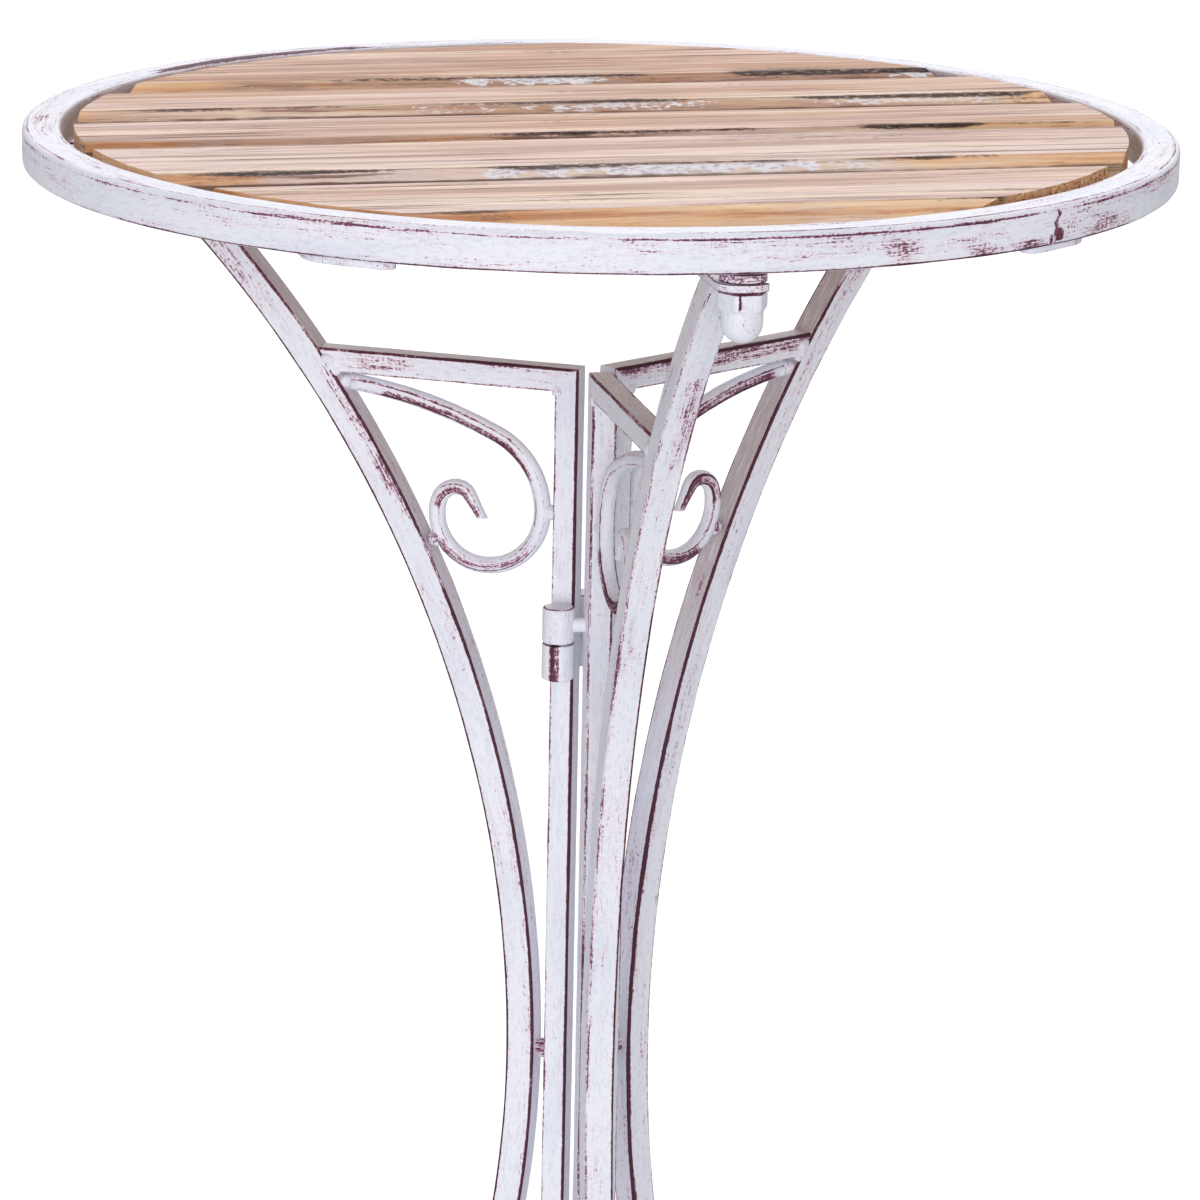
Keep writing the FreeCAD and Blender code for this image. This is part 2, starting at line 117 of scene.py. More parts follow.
# Heavily worn stretches of the swept bars: low and high share of the length, side in degrees round the
# profile, spread in degrees, and strength; a spread of zero wears the nearest corner's line
worn_stretches = {
    "top_ring": ((0.0, 1.0, 90, 60, 0.16), (0.0, 1.0, 0, 40, 0.2), (0.0, 1.0, 45, 0, 0.35),
                 (0.6, 0.72, 45, 0, 0.42), (0.72, 0.84, 45, 0, 0.6),
                 (0.0, 1.0, 135, 0, 0.35), (0.58, 0.88, 135, 0, 0.8), (0.0, 1.0, -45, 0, 0.25),
                 (0.29, 0.385, -45, 0, 1.0), (0.295, 0.38, -24, 18, 1.7), (0.4, 0.52, 10, 22, 0.4),
                 (0.789, 0.797, 112, 28, 1.25), (0.814, 0.821, 120, 26, 1.2), (0.83, 0.84, 128, 18, 1.0),
                 (0.857, 0.884, 124, 22, 1.0), (0.868, 0.876, 108, 20, 1.1), (0.04, 0.07, 60, 24, 0.9),
                 (0.12, 0.14, 112, 28, 1.1), (0.19, 0.23, 124, 24, 0.9), (0.42, 0.44, 116, 26, 1.1),
                 (0.74, 0.8, 64, 12, 0.6), (0.66, 0.72, 80, 14, 0.3), (0.81, 0.83, 80, 30, 0.5),
                 (0.858, 0.88, 70, 30, 0.5), (0.84, 0.92, 85, 45, 0.38)),
    "left_leg": ((0.0, 1.0, 0, 360, 0.16), (0.0, 0.95, -45, 0, 1.0), (0.0, 0.9, -46, 7, 0.6),
                 (0.38, 0.74, 45, 0, 0.95), (0.74, 0.94, 45, 0, 0.6), (0.815, 0.87, 34, 22, 0.7),
                 (0.77, 0.812, 28, 22, 0.8), (0.89, 0.98, -15, 40, 0.4), (0.5, 0.56, 36, 20, 0.6),
                 (0.6, 0.76, -10, 40, 0.2)),
    "left_post": ((0.0, 1.0, -45, 0, 1.0), (0.0, 1.0, -46, 7, 0.9), (0.0, 1.0, 45, 0, 0.4)),
    "left_upper_rail": ((0.0, 1.0, 0, 360, 0.12), (0.0, 1.0, 45, 0, 0.9), (0.0, 0.9, -45, 0, 0.5),
                        (0.6, 0.82, 8, 34, 0.55)),
    "left_upper_scroll": ((0.1, 0.45, 22, 26, 1.05), (0.28, 0.43, 16, 18, 1.4), (0.58, 0.8, -4, 26, 1.15),
                          (0.86, 1.0, 5, 24, 1.3)),
    "front_leg": ((0.0, 1.0, -90, 360, 0.17), (0.0, 0.76, -45, 0, 0.9), (0.76, 1.0, -45, 0, 0.4),
                  (0.0, 1.0, -135, 0, 0.24), (0.85, 0.92, -75, 40, 0.6), (0.4, 0.75, -132, 10, 0.4)),
    "front_upper_rail": ((0.0, 1.0, 45, 0, 0.5), (0.0, 1.0, 135, 0, 0.7)),
    "rear_leg": ((0.0, 1.0, 180, 360, 0.2), (0.0, 0.9, 135, 0, 1.0), (0.35, 0.66, 137, 9, 0.9),
                 (0.0, 1.0, -135, 0, 0.35), (0.9, 1.0, 165, 40, 0.7), (0.84, 0.9, 185, 30, 0.4)),
    "rear_upper_rail": ((0.0, 1.0, 135, 0, 1.0), (0.0, 1.0, -135, 0, 0.6), (0.0, 0.97, 155, 38, 1.0)),
    "rear_upper_scroll": ((0.06, 0.42, 165, 40, 1.25), (0.55, 0.75, 190, 30, 1.3), (0.85, 1.0, 180, 40, 1.0)),
    "front_upper_scroll": ((0.1, 0.5, -60, 30, 0.8), (0.55, 0.75, 0, 40, 1.2), (0.55, 0.8, 180, 40, 1.1)),
}
wear_fade_share = 0.007
corner_reach = 40.0
plain_corner_wear = 0.6
rim_wear = 0.7
knuckle_rim_wear = 0.5
lug_wear = 0.45
spacer_wear = 0.8
crossbar_wear = 0.25

# Dust on faces that look up or inwards; the rear leg's large amount and the ring's amount are painted shade
# on inner faces
leg_dust_and_shade = {"left": 0.7, "front": 0.3, "rear": 1.3}
rail_dust = 0.45
ring_inner_shade = 1.5

# Lines along which corners and bars wear, in degrees round each corner and round the bar
tube_worn_angles = ((28, 62),) * 4
ring_worn_angles = ((5, 85), (48,), (45,), (5, 85))
bar_worn_angles = (35, 145, 215, 325)

# Points of a square profile: degrees round each corner, and shares of each flat
corner_angles = (0, 22.5, 45, 67.5, 90)
flat_shares = (0.04, 0.12, 0.3, 0.5, 0.7, 0.88, 0.96)


def srgb(red, green, blue):
    """A colour given as 0 to 255 screen values, in linear light."""
    shares = [value / 255 for value in (red, green, blue)]
    return tuple(s / 12.92 if s <= 0.04045 else ((s + 0.055) / 1.055) ** 2.4 for s in shares) + (1.0,)


def smooth(value, low, high):
    """0 below low, 1 above high, and an easy slope between."""
    share = min(1.0, max(0.0, (value - low) / (high - low)))
    return share * share * (3 - 2 * share)


def way_at(degrees):
    """The unit way at an angle in a plane."""
    angle = math.radians(degrees)
    return Vector((math.cos(angle), math.sin(angle)))


def degrees_apart(first, second):
    """The smaller angle between two ways in a plane."""
    return abs((first - second + 180) % 360 - 180)


# Surfaces


class Shell:
    """Points and faces of one surface, with a straightened place and named amounts at each point."""

    def __init__(self, points, faces, grain, amounts):
        self.points = np.asarray(points, float).reshape(-1, 3)
        self.faces = faces
        self.grain = np.asarray(grain, float).reshape(-1, 3)
        self.amounts = amounts

    def moved(self, matrix):
        """A copy under a 4 by 4 matrix, with its faces turned over where the matrix mirrors."""
        m = np.array(matrix)
        points = self.points @ m[:3, :3].T + m[:3, 3]
        faces = self.faces
        if np.linalg.det(m[:3, :3]) < 0:
            faces = [face[::-1] for face in faces]
        return Shell(points, faces, self.grain, self.amounts)


def grid_faces(rows, columns, closed):
    """Quads of a tube of points, and its two end faces where it is open."""
    faces = []
    for row in range(rows if closed else rows - 1):
        following = (row + 1) % rows
        for column in range(columns):
            beside = (column + 1) % columns
            faces.append((row * columns + column, row * columns + beside,
                          following * columns + beside, following * columns + column))
    if not closed:
        faces.append(tuple(range(columns))[::-1])
        faces.append(tuple((rows - 1) * columns + column for column in range(columns)))
    return faces


def square_profile(half, corner, worn_angles=tube_worn_angles):
    """Round a square tube: places, outward ways, and distances to the nearest worn line of its corners."""
    flat = half - corner
    profile = []
    for k, angles in enumerate(worn_angles):
        turn = Matrix.Rotation(math.radians(90 * k), 2)
        for degrees in corner_angles:
            way = way_at(degrees)
            place = Vector((flat, flat)) + corner * way
            away = min(abs(degrees - worn) for worn in angles)
            profile.append((turn @ place, turn @ way, corner * math.radians(away)))
        before = corner * math.radians(90 - max(angles))
        after = corner * math.radians(min(worn_angles[(k + 1) % 4]))
        for share in flat_shares:
            place = Vector((flat - share * 2 * flat, half))
            gap = min(before + share * 2 * flat, after + (1 - share) * 2 * flat)
            profile.append((turn @ place, turn @ Vector((0, 1)), gap))
    return profile


def round_profile(radius, count=24):
    """Round a bar, worn along a few lines."""
    profile = []
    for k in range(count):
        degrees = 360 * k / count
        way = way_at(degrees)
        away = min(degrees_apart(degrees, worn) for worn in bar_worn_angles)
        profile.append((radius * way, way, math.radians(away) * radius))
    return profile


def wear_at(stretches, share, place):
    """How strongly the listed stretches wear a point's corner line, and its own place, on a profile."""
    side = math.degrees(math.atan2(place.y, place.x))
    fade = wear_fade_share
    line = patch = 0.0
    for low, high, middle, spread, strength in stretches:
        window = smooth(share, low - fade, low + fade) * (1 - smooth(share, high - fade, high + fade))
        away = degrees_apart(side, middle)
        if spread:
            patch = max(patch, strength * window * (1 - smooth(away, spread * 0.5, spread * 1.5)))
        elif away < corner_reach:
            line = max(line, strength * window)
    return line, patch


def worn_all_round(stretches):
    """The listed stretches, with an even wear on the corners that they leave out."""
    named = {side for low, high, side, spread, strength in stretches if not spread}
    rest = [side for side in (45, 135, -45, -135) if side not in named]
    return tuple(stretches) + tuple((0.0, 1.0, side, 0, plain_corner_wear) for side in rest)


def sweep(line, length, profile, seed, spacing=row_spacing, closed=False, start=None, end=None, swell=None,
          stretches=(), dust=None):
    """A profile carried along a line; start and end give how far each of its points is cut back."""
    count = max(3, round(length / spacing))
    points, grain, rows = [], [], []
    for share in np.linspace(0, 1, count, endpoint=not closed):
        for place, way, gap in profile:
            low = start(place) if start else 0.0
            high = length - (end(place) if end else 0.0)
            along = low + share * (high - low)
            centre, side, out = line(along)
            spot = Vector((along * waves_along + seed * lump_seed_shift, *(place * waves_across)))
            lift = lump_height * (noise.noise(spot) - lump_sink_share)
            if swell:
                lift += swell(along, place)
            where = place + way * lift
            points.append(centre + side * where.x + out * where.y)
            grain.append((along, place.x, place.y))
            rows.append((gap, *wear_at(stretches, share, place), dust(along, way) if dust else 0.0))
    amounts = dict(zip(("edge", "line", "worn", "dust"), zip(*rows)))
    faces = grid_faces(count, len(profile), closed)
    return Shell(points, faces, np.array(grain) + grain_seed_shift * seed, amounts)


def bead(path, radius, seed, worn=0.0):
    """A lumpy weld bead along a few points, pointed at both ends."""
    ripple_share = 0.16
    ripple_sink_share = 0.1
    ripple_length = 0.9 * radius
    rough_share = 0.3
    columns = 14
    spacing = radius / 5
    path = [Vector(point) for point in path]
    lengths = [(b - a).length for a, b in zip(path, path[1:])]
    length = sum(lengths)
    way = (path[-1] - path[0]).normalized()
    side = way.orthogonal().normalized()
    out = way.cross(side)

    def line(along):
        for a, b, part in zip(path, path[1:], lengths):
            if along <= part:
                break
            along -= part
        return a.lerp(b, min(1.0, along / part)), side, out

    def swell(along, place):
        share = along / length
        ripple = ripple_share * abs(math.sin(along / ripple_length)) - ripple_sink_share
        spot = Vector((along / radius + seed, place.x / radius, place.y / radius))
        rough = rough_share * noise.noise(spot)
        return radius * (math.sqrt(max(0.0, 1 - (2 * share - 1) ** 4)) * (1 + ripple + rough) - 1)

    return sweep(line, length, round_profile(radius, columns), seed, spacing, swell=swell,
                 stretches=((0.0, 1.0, 0, 360, worn),))


def lump(middle, radius, seed, worn=0.0):
    """One rough blob of weld metal."""
    half = Vector((0, 0, radius))
    middle = Vector(middle)
    return bead([middle - half, middle + half], radius, seed, worn)


def lathe(outline, axis, seed, count, corners, streak, rim=rim_wear):
    """Turns (radius, height) points about an upright axis; corners lists the outline's worn edges."""
    points, grain, rows = [], [], []
    for index, (radius, height) in enumerate(outline):
        for k in range(count):
            angle = 2 * math.pi * k / count
            reach = radius(angle) if callable(radius) else radius
            points.append((axis[0] + reach * math.cos(angle), axis[1] + reach * math.sin(angle), height))
            grain.append((height, reach * angle, reach))
            edge = 0.0 if index in corners else far_from_edge
            rows.append((edge, rim, streak(math.degrees(angle), height)))
    amounts = dict(zip(("edge", "line", "worn"), zip(*rows)))
    faces = grid_faces(len(outline), count, False)
    return Shell(points, faces, np.array(grain) + grain_seed_shift * seed, amounts)


def merged_mesh(node):
    """A node's surface for editing, with its faces joined at their shared points."""
    bm = bmesh.new()
    bm.from_mesh(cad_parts[node].data)
    bmesh.ops.remove_doubles(bm, verts=bm.verts, dist=merge_distance)
    return bm


def sharp_edges(bm):
    """The edges where two faces meet at a clear angle."""
    return [e for e in bm.edges if len(e.link_faces) == 2 and e.calc_face_angle() > sharp_angle]


def upright_end_edges(bm, rounding):
    """The sharp upright edges at both ends along X."""
    reaches = [v.co.x for v in bm.verts]
    low, high = min(reaches), max(reaches)
    close = 10 * merge_distance
    chosen = []
    for e in sharp_edges(bm):
        a, b = (v.co for v in e.verts)
        if abs(a.z - b.z) > rounding and min(a.x - low, high - a.x) < close:
            chosen.append(e)
    return chosen


def round_off(bm, edges, offset, segments):
    """Rounds the edges, and gives the faces that this makes."""
    made = bmesh.ops.bevel(bm, geom=edges, offset=offset, segments=segments, profile=0.5, affect="EDGES",
                           clamp_overlap=True)
    return set(made["faces"])


def in_fixed_order(points, faces, edge):
    """The same surface with its points and faces sorted by place, as rounding leaves them in any order."""
    order = np.lexsort(points.round(6).T)
    rank = np.argsort(order)
    turned = []
    for face in faces:
        corners = [int(rank[index]) for index in face]
        first = corners.index(min(corners))
        turned.append(tuple(corners[first:] + corners[:first]))
    return points[order], sorted(turned), np.array(edge)[order]


def dressed(node, rounding, along, seed, worn, end_rounding=0.0):
    """A node's own surface with its edges rounded and a rim along them that can wear."""
    bm = merged_mesh(node)
    bmesh.ops.dissolve_limit(bm, angle_limit=flat_angle, verts=bm.verts, edges=bm.edges)
    if end_rounding:
        round_off(bm, upright_end_edges(bm, rounding), end_rounding, 5)
    rounded = round_off(bm, sharp_edges(bm), rounding, 3)
    flats = [face for face in bm.faces if face not in rounded]
    bmesh.ops.inset_region(bm, faces=flats, thickness=rim_width, use_even_offset=True)
    inner = {v for face in flats for v in face.verts}
    bm.verts.index_update()
    points = np.array([v.co for v in bm.verts])
    edge = [far_from_edge if v in inner else 0.0 for v in bm.verts]
    faces = [tuple(v.index for v in face.verts) for face in bm.faces]
    bm.free()
    points, faces, edge = in_fixed_order(points, faces, edge)
    along = Vector(along).normalized()
    side = along.orthogonal().normalized()
    axes = np.array((along, side, along.cross(side)))
    count = len(edge)
    amounts = {"edge": edge, "line": [rim_wear] * count, "worn": [worn] * count}
    return Shell(points, faces, points @ axes.T + grain_seed_shift * seed, amounts)


def new_object(name, data):
    """An object of the scene."""
    obj = bpy.data.objects.new(name, data)
    bpy.context.scene.collection.objects.link(obj)
    return obj


def piece(node, shells, body, material):
    """One object from its shells, riding on a body and standing for the node that it replaces."""
    name = node + "_look"
    points = np.concatenate([shell.points for shell in shells])
    faces, base = [], 0
    for shell in shells:
        faces += [tuple(base + index for index in face) for face in shell.faces]
        base += len(shell.points)
    mesh = bpy.data.meshes.new(name)
    mesh.from_pydata(points.tolist(), [], faces)
    grain = mesh.attributes.new("grain", "FLOAT_VECTOR", "POINT")
    grain.data.foreach_set("vector", np.concatenate([shell.grain for shell in shells]).ravel())
    for key in sorted({key for shell in shells for key in shell.amounts}):
        columns = [shell.amounts.get(key, np.zeros(len(shell.points))) for shell in shells]
        layer = mesh.attributes.new(key, "FLOAT", "POINT")
        layer.data.foreach_set("value", np.concatenate(columns))
    mesh.shade_smooth()
    mesh.set_sharp_from_angle(angle=smooth_angle)
    mesh.materials.append(material)
    obj = new_object(name, mesh)
    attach(obj, body)
    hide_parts(node)


# Materials


class Painter:
    """Builds a material's nodes with short calls."""

    def __init__(self, name, roughness=0.5):
        self.material = bpy.data.materials.new(name)
        self.material.use_nodes = True
        self.tree = self.material.node_tree
        self.shader = self.tree.nodes["Principled BSDF"]
        self.shader.inputs["Roughness"].default_value = roughness

    def node(self, kind, settings, inputs, output):
        """One output of a new node; inputs go by name or number."""
        node = self.tree.nodes.new("ShaderNode" + kind)
        for key, value in settings.items():
            setattr(node, key, value)
        for key, value in inputs.items():
            self.plug(value, node.inputs[key])
        return node.outputs[output]

    def plug(self, value, socket):
        if isinstance(value, bpy.types.NodeSocket):
            self.tree.links.new(value, socket)
        else:
            socket.default_value = value

    def place(self):
        return self.node("TexCoord", {}, {}, "Object")

    def attribute(self, name, output="Fac"):
        return self.node("Attribute", {"attribute_name": name}, {}, output)

    def noise(self, vector, scale, detail=3.0, rough=0.55, distortion=0.0):
        place = self.node("Mapping", {"vector_type": "POINT"}, {"Vector": vector, "Scale": scale}, "Vector")
        inputs = {"Vector": place, "Scale": 1.0, "Detail": detail, "Roughness": rough,
                  "Distortion": distortion}
        return self.node("TexNoise", {}, inputs, "Fac")

    def math(self, operation, first, second):
        return self.node("Math", {"operation": operation}, {0: first, 1: second}, 0)

    def sum(self, *terms):
        """Adds (socket, weight, centre) terms: each socket less its centre, times its weight."""
        total = None
        for socket, weight, centre in terms:
            part = self.math("MULTIPLY", self.math("SUBTRACT", socket, centre), weight)
            total = part if total is None else self.math("ADD", total, part)
        return total

    def step(self, value, low, high):
        settings = {"interpolation_type": "SMOOTHSTEP", "clamp": True}
        return self.node("MapRange", settings, {"Value": value, "From Min": low, "From Max": high}, "Result")

    def ramp(self, value, stops):
        """Colours along a value, from stops of a position and screen values."""
        node = self.tree.nodes.new("ShaderNodeValToRGB")
        self.plug(value, node.inputs["Fac"])
        elements = node.color_ramp.elements
        while len(elements) < len(stops):
            elements.new(0.5)
        for element, (position, *screen) in zip(elements, stops):
            element.position = position
            element.color = srgb(*screen)
        return node.outputs["Color"]

    def mix(self, factor, first, second):
        return self.node("Mix", {"data_type": "RGBA"}, {"Factor": factor, 6: first, 7: second}, 2)

    def tint(self, base, colour, strength, value, low, high):
        """The base with a colour mixed in, up to a strength, as a value goes from low to high."""
        return self.mix(self.math("MULTIPLY", self.step(value, low, high), strength), base, colour)

    def bump(self, height, strength, distance):
        inputs = {"Height": height, "Strength": strength, "Distance": distance}
        self.plug(self.node("Bump", {}, inputs, "Normal"), self.shader.inputs["Normal"])

    def finish(self, colour, roughness=None):
        self.plug(colour, self.shader.inputs["Base Color"])
        if roughness is not None:
            self.plug(roughness, self.shader.inputs["Roughness"])
        return self.material


def painted_steel():
    """Bluish white paint brushed thinly over maroon, which shows along edges and in dry-brush streaks."""
    p = Painter("painted_steel")
    p.shader.inputs["Specular IOR Level"].default_value = 0.3
    grain = p.attribute("grain", "Vector")
    near = p.step(p.attribute("edge"), 0.0009, 0.0001)
    lined = p.math("MULTIPLY", near, p.attribute("line"))
    worn = p.attribute("worn")
    patch = p.noise(grain, (22, 200, 200), 2.0)
    streak = p.noise(grain, (75, 1300, 1300), 3.0, 0.6)
    hatch = p.noise(grain, (1100, 240, 240), 3.0, 0.6)
    fleck = p.noise(grain, (520, 1900, 1900), 3.0, 0.65)
    cloud = p.noise(grain, (14, 90, 90), 3.0)
    mottle = p.noise(grain, (260, 800, 800), 4.0, 0.6)
    wear = p.sum((near, 0.06, 0.0), (lined, 0.5, 0.0), (worn, 0.3, 0.0), (patch, 0.6, 0.5),
                 (streak, 0.7, 0.5), (hatch, 0.35, 0.5), (fleck, 0.8, 0.5))
    bare = p.step(wear, 0.25, 0.31)
    thin = p.step(wear, 0.05, 0.34)
    paint = p.ramp(cloud, [(0.3, 223, 227, 240), (0.52, 234, 236, 245), (0.75, 238, 236, 245)])
    mottled = p.tint(paint, srgb(202, 205, 220), 0.45, mottle, 0.48, 0.68)
    # Grey-tan tint: dust on tops and inner faces, and painted shade on the rear leg's inner side and the
    # ring's inner wall
    dusted_and_shaded = p.tint(mottled, srgb(192, 182, 182), p.attribute("dust"), streak, 0.2, 0.66)
    hazed = p.mix(p.math("MULTIPLY", thin, 0.78), dusted_and_shaded, srgb(226, 194, 212))
    light_maroon = p.ramp(fleck, [(0.35, 112, 60, 82), (0.65, 150, 96, 120)])
    maroon = p.tint(light_maroon, srgb(72, 35, 50), 1.0, wear, 0.3, 0.55)
    colour = p.mix(bare, hazed, maroon)
    height = p.sum((bare, -0.6, 0.0), (streak, 0.4, 0.5), (hatch, 0.25, 0.5), (fleck, 0.3, 0.5))
    p.bump(height, 0.4, 0.0004)
    rough = p.sum((bare, 0.1, 0.0), (streak, 0.25, 0.5), (thin, 0.06, 0.0))
    return p.finish(colour, p.math("ADD", rough, 0.51))


def sawn_wood(p, grain, streak, line, fibre):
    """Tan wood with pale and grey streaks and fine dark grain."""
    broad = p.noise(grain, (4, 34, 34), 3.0, 0.5, 0.4)
    thread = p.noise(grain, (11, 680, 680), 3.0, 0.6, 0.2)
    tone = p.sum((broad, 1.0, 0.0), (p.attribute("tone"), 0.14, 0.0))
    tan = p.ramp(tone, [(0.3, 196, 148, 120), (0.44, 214, 173, 149),
                        (0.58, 226, 193, 178), (0.72, 231, 206, 199)])
    pale = p.tint(tan, srgb(246, 222, 202), 0.85, streak, 0.52, 0.38)
    grey = p.tint(pale, srgb(176, 144, 134), 0.65, streak, 0.52, 0.64)
    lined = p.tint(grey, srgb(122, 86, 70), 0.9, line, 0.54, 0.66)
    threaded = p.tint(lined, srgb(136, 98, 80), 0.5, thread, 0.53, 0.68)
    return p.tint(threaded, srgb(160, 128, 112), 0.35, fibre, 0.52, 0.72)


def weathered_wood():
    """Tan boards: soft grain, orange fresh edges, dark bark, white flakes, and painted shade in the gaps
    between them.
    """
    p = Painter("weathered_wood")
    p.shader.inputs["Specular IOR Level"].default_value = 0.2
    grain = p.attribute("grain", "Vector")
    streak = p.noise(grain, (4, 115, 115), 4.0, 0.6, 0.5)
    line = p.noise(grain, (7, 290, 290), 5.0, 0.66, 0.4)
    fibre = p.noise(grain, (60, 1500, 1200), 3.0, 0.6)
    blotch = p.noise(grain, (24, 70, 70), 3.0)
    crumb = p.noise(grain, (300, 700, 700), 3.0, 0.6)
    end_tone = p.ramp(crumb, [(0.36, 132, 88, 62), (0.48, 212, 158, 114), (0.62, 246, 206, 160)])
    ended = p.mix(p.attribute("end"), sawn_wood(p, grain, streak, line, fibre), end_tone)
    fresh = p.sum((p.attribute("fresh"), 1.0, 0.0), (blotch, 1.2, 0.5), (line, 0.8, 0.5))
    fresh_grain = p.sum((streak, 0.6, 0.0), (line, 0.5, 0.05))
    orange = p.ramp(fresh_grain, [(0.4, 252, 222, 184), (0.52, 240, 190, 142), (0.62, 204, 138, 92)])
    freshened = p.tint(ended, orange, 0.9, fresh, 0.2, 0.8)
    flake_amount = p.sum((p.attribute("flake"), 1.0, 0.0), (crumb, 1.5, 0.5), (blotch, 0.8, 0.5))
    flake = p.step(flake_amount, 0.36, 0.62)
    white = p.ramp(crumb, [(0.36, 200, 186, 196), (0.52, 246, 242, 247)])
    flaked = p.mix(flake, freshened, white)
    # Dark line along each front edge, and painted shade where the boards dip into the gaps between them
    crease = p.sum((p.attribute("crease"), 1.0, 0.0), (line, 0.8, 0.5), (blotch, 0.5, 0.5))
    gap_shaded = p.tint(flaked, srgb(96, 68, 56), 0.85, crease, 0.2, 0.9)
    bark = p.sum((p.attribute("bark"), 1.0, 0.0), (crumb, 1.3, 0.5), (blotch, 1.3, 0.5), (line, 1.0, 0.5))
    smudged = p.tint(gap_shaded, srgb(122, 92, 78), 0.6, bark, 0.12, 0.6)
    bark_tone = p.ramp(crumb, [(0.36, 44, 32, 32), (0.58, 92, 72, 66), (0.7, 166, 146, 142)])
    barked = p.tint(smudged, bark_tone, 0.95, bark, 0.32, 0.7)
    height = p.sum((streak, 0.7, 0.5), (line, 0.7, 0.5), (fibre, 0.4, 0.5), (flake, 0.3, 0.0))
    p.bump(height, 0.5, 0.0006)
    rough = p.sum((line, 0.25, 0.0), (fibre, 0.2, 0.5))
    return p.finish(barked, p.math("ADD", rough, 0.55))


def speckled(name, dark, light, roughness, metallic, scale):
    """A plain hard surface with fine variation, for small pieces that keep their solids."""
    p = Painter(name, roughness)
    p.shader.inputs["Metallic"].default_value = metallic
    place = p.place()
    fine = p.noise(place, (scale,) * 3, 4.0, 0.6)
    broad = p.noise(place, (scale / 8,) * 3, 2.0)
    tone = p.sum((fine, 0.6, 0.0), (broad, 0.4, 0.0))
    p.bump(fine, 0.2, 0.0002)
    return p.finish(p.ramp(tone, [(0.35, *dark), (0.65, *light)]))


# Pieces of a wing, for a wing along +X


def leg_radius_at(height, depth):
    """Distance from the axis, at a height, of the surface that lies depth behind the leg's outer face."""
    return bend_centre - math.sqrt((bend_radius + depth) ** 2 - (height - waist_height) ** 2)


def leg_shell(seed, stretches, dust_and_shade_amount):
    """The bowed square tube, cut level at its top and foot."""
    middle = bend_radius + leg_tube / 2

    def angle(height, depth):
        return math.asin((height - waist_height) / (middle + depth))

    foot = angle(leg_foot, 0)
    top = angle(lug_bottom, 0)

    def line(along):
        turn = foot + along / middle
        out = Vector((-math.cos(turn), 0, math.sin(turn)))
        return Vector((bend_centre, 0, waist_height)) + middle * out, Vector((0, 1, 0)), out

    # Dust on the leg's inner side; painted shade where the amount is large
    def dust(along, way):
        return dust_and_shade_amount * smooth(way.y, 0.8, 1.0) * smooth(foot + along / middle, 0.2, 0.5)

    return sweep(line, middle * (top - foot), square_profile(leg_tube / 2, tube_corner), seed,
                 start=lambda place: middle * (angle(leg_foot, place.y) - foot),
                 end=lambda place: middle * (top - angle(lug_bottom, place.y)),
                 stretches=stretches, dust=dust)


def post_shell(seed, stretches):
    """The upright square tube, mitred at both ends."""
    half = post_tube / 2
    middle = (post_inner + post_outer) / 2

    def line(along):
        return Vector((middle, 0, post_bottom + along)), Vector((0, 1, 0)), Vector((1, 0, 0))

    def mitre(place):
        return place.y + half

    return sweep(line, post_top - post_bottom, square_profile(half, tube_corner), seed,
                 start=mitre, end=mitre, stretches=stretches)


def rail_shell(seed, stretches):
    """The level square tube from the post's mitre into the leg."""
    half = post_tube / 2
    level = post_top - half
    far = leg_radius_at(level, leg_tube / 2)

    def line(along):
        return Vector((post_inner + along, 0, level)), Vector((0, 1, 0)), Vector((0, 0, 1))

    def dust(along, way):
        return rail_dust * smooth(way.y, 0.8, 1.0)

    return sweep(line, far - post_inner, square_profile(half, tube_corner), seed,
                 start=lambda place: half - place.y,
                 end=lambda place: far - leg_radius_at(level + place.y, leg_tube / 2),
                 stretches=stretches, dust=dust)


def scroll_march(start, size, step_degrees=3.0):
    """Points (x, z, heading) along the scroll's arcs."""
    x, z = start
    heading = math.radians(scroll_heading)
    line = [(x, z, heading)]
    for share, degrees in zip(scroll_radius_shares, scroll_turns):
        count = max(1, round(degrees / step_degrees))
        turn = math.radians(degrees) / count
        chord = 2 * share * size * math.sin(turn / 2)
        for _ in range(count):
            x += chord * math.cos(heading + turn / 2)
            z += chord * math.sin(heading + turn / 2)
            heading += turn
            line.append((x, z, heading))
    x += scroll_tip_length * math.cos(heading)
    z += scroll_tip_length * math.sin(heading)
    return line + [(x, z, heading)]


def scroll_path():
    """The scroll's centre line, from inside the leg to its drawn-out tip."""
    level = post_top - post_tube - scroll_bar / 2 - scroll_rail_gap
    start = leg_radius_at(level, leg_tube) + scroll_bar / 2
    unit_reach = -min(x for x, z, heading in scroll_march((0, 0), 1))
    size = (start - post_outer - scroll_post_gap - scroll_bar / 2) / unit_reach
    return scroll_march((start, level), size)


def scroll_shell(seed, stretches):
    """The round bar scroll with a drawn-out, slantwise cut tip."""
    path = np.array(scroll_path())
    steps = np.hypot(np.diff(path[:, 0]), np.diff(path[:, 1]))
    reached = np.concatenate(([0.0], np.cumsum(steps)))
    length = reached[-1]
    radius = scroll_bar / 2
    taper_start = length - scroll_taper_share * scroll_tip_length

    def line(along):
        x, z, heading = (np.interp(along, reached, path[:, k]) for k in range(3))
        return Vector((x, 0, z)), Vector((0, 1, 0)), Vector((-math.sin(heading), 0, math.cos(heading)))

    def swell(along, place):
        return -radius * (1 - scroll_tip_share) * smooth(along, taper_start, length)

    return sweep(line, length, round_profile(radius), seed, scroll_row_spacing, swell=swell,
                 stretches=stretches, end=lambda place: scroll_cut_slope * (place.y + radius))


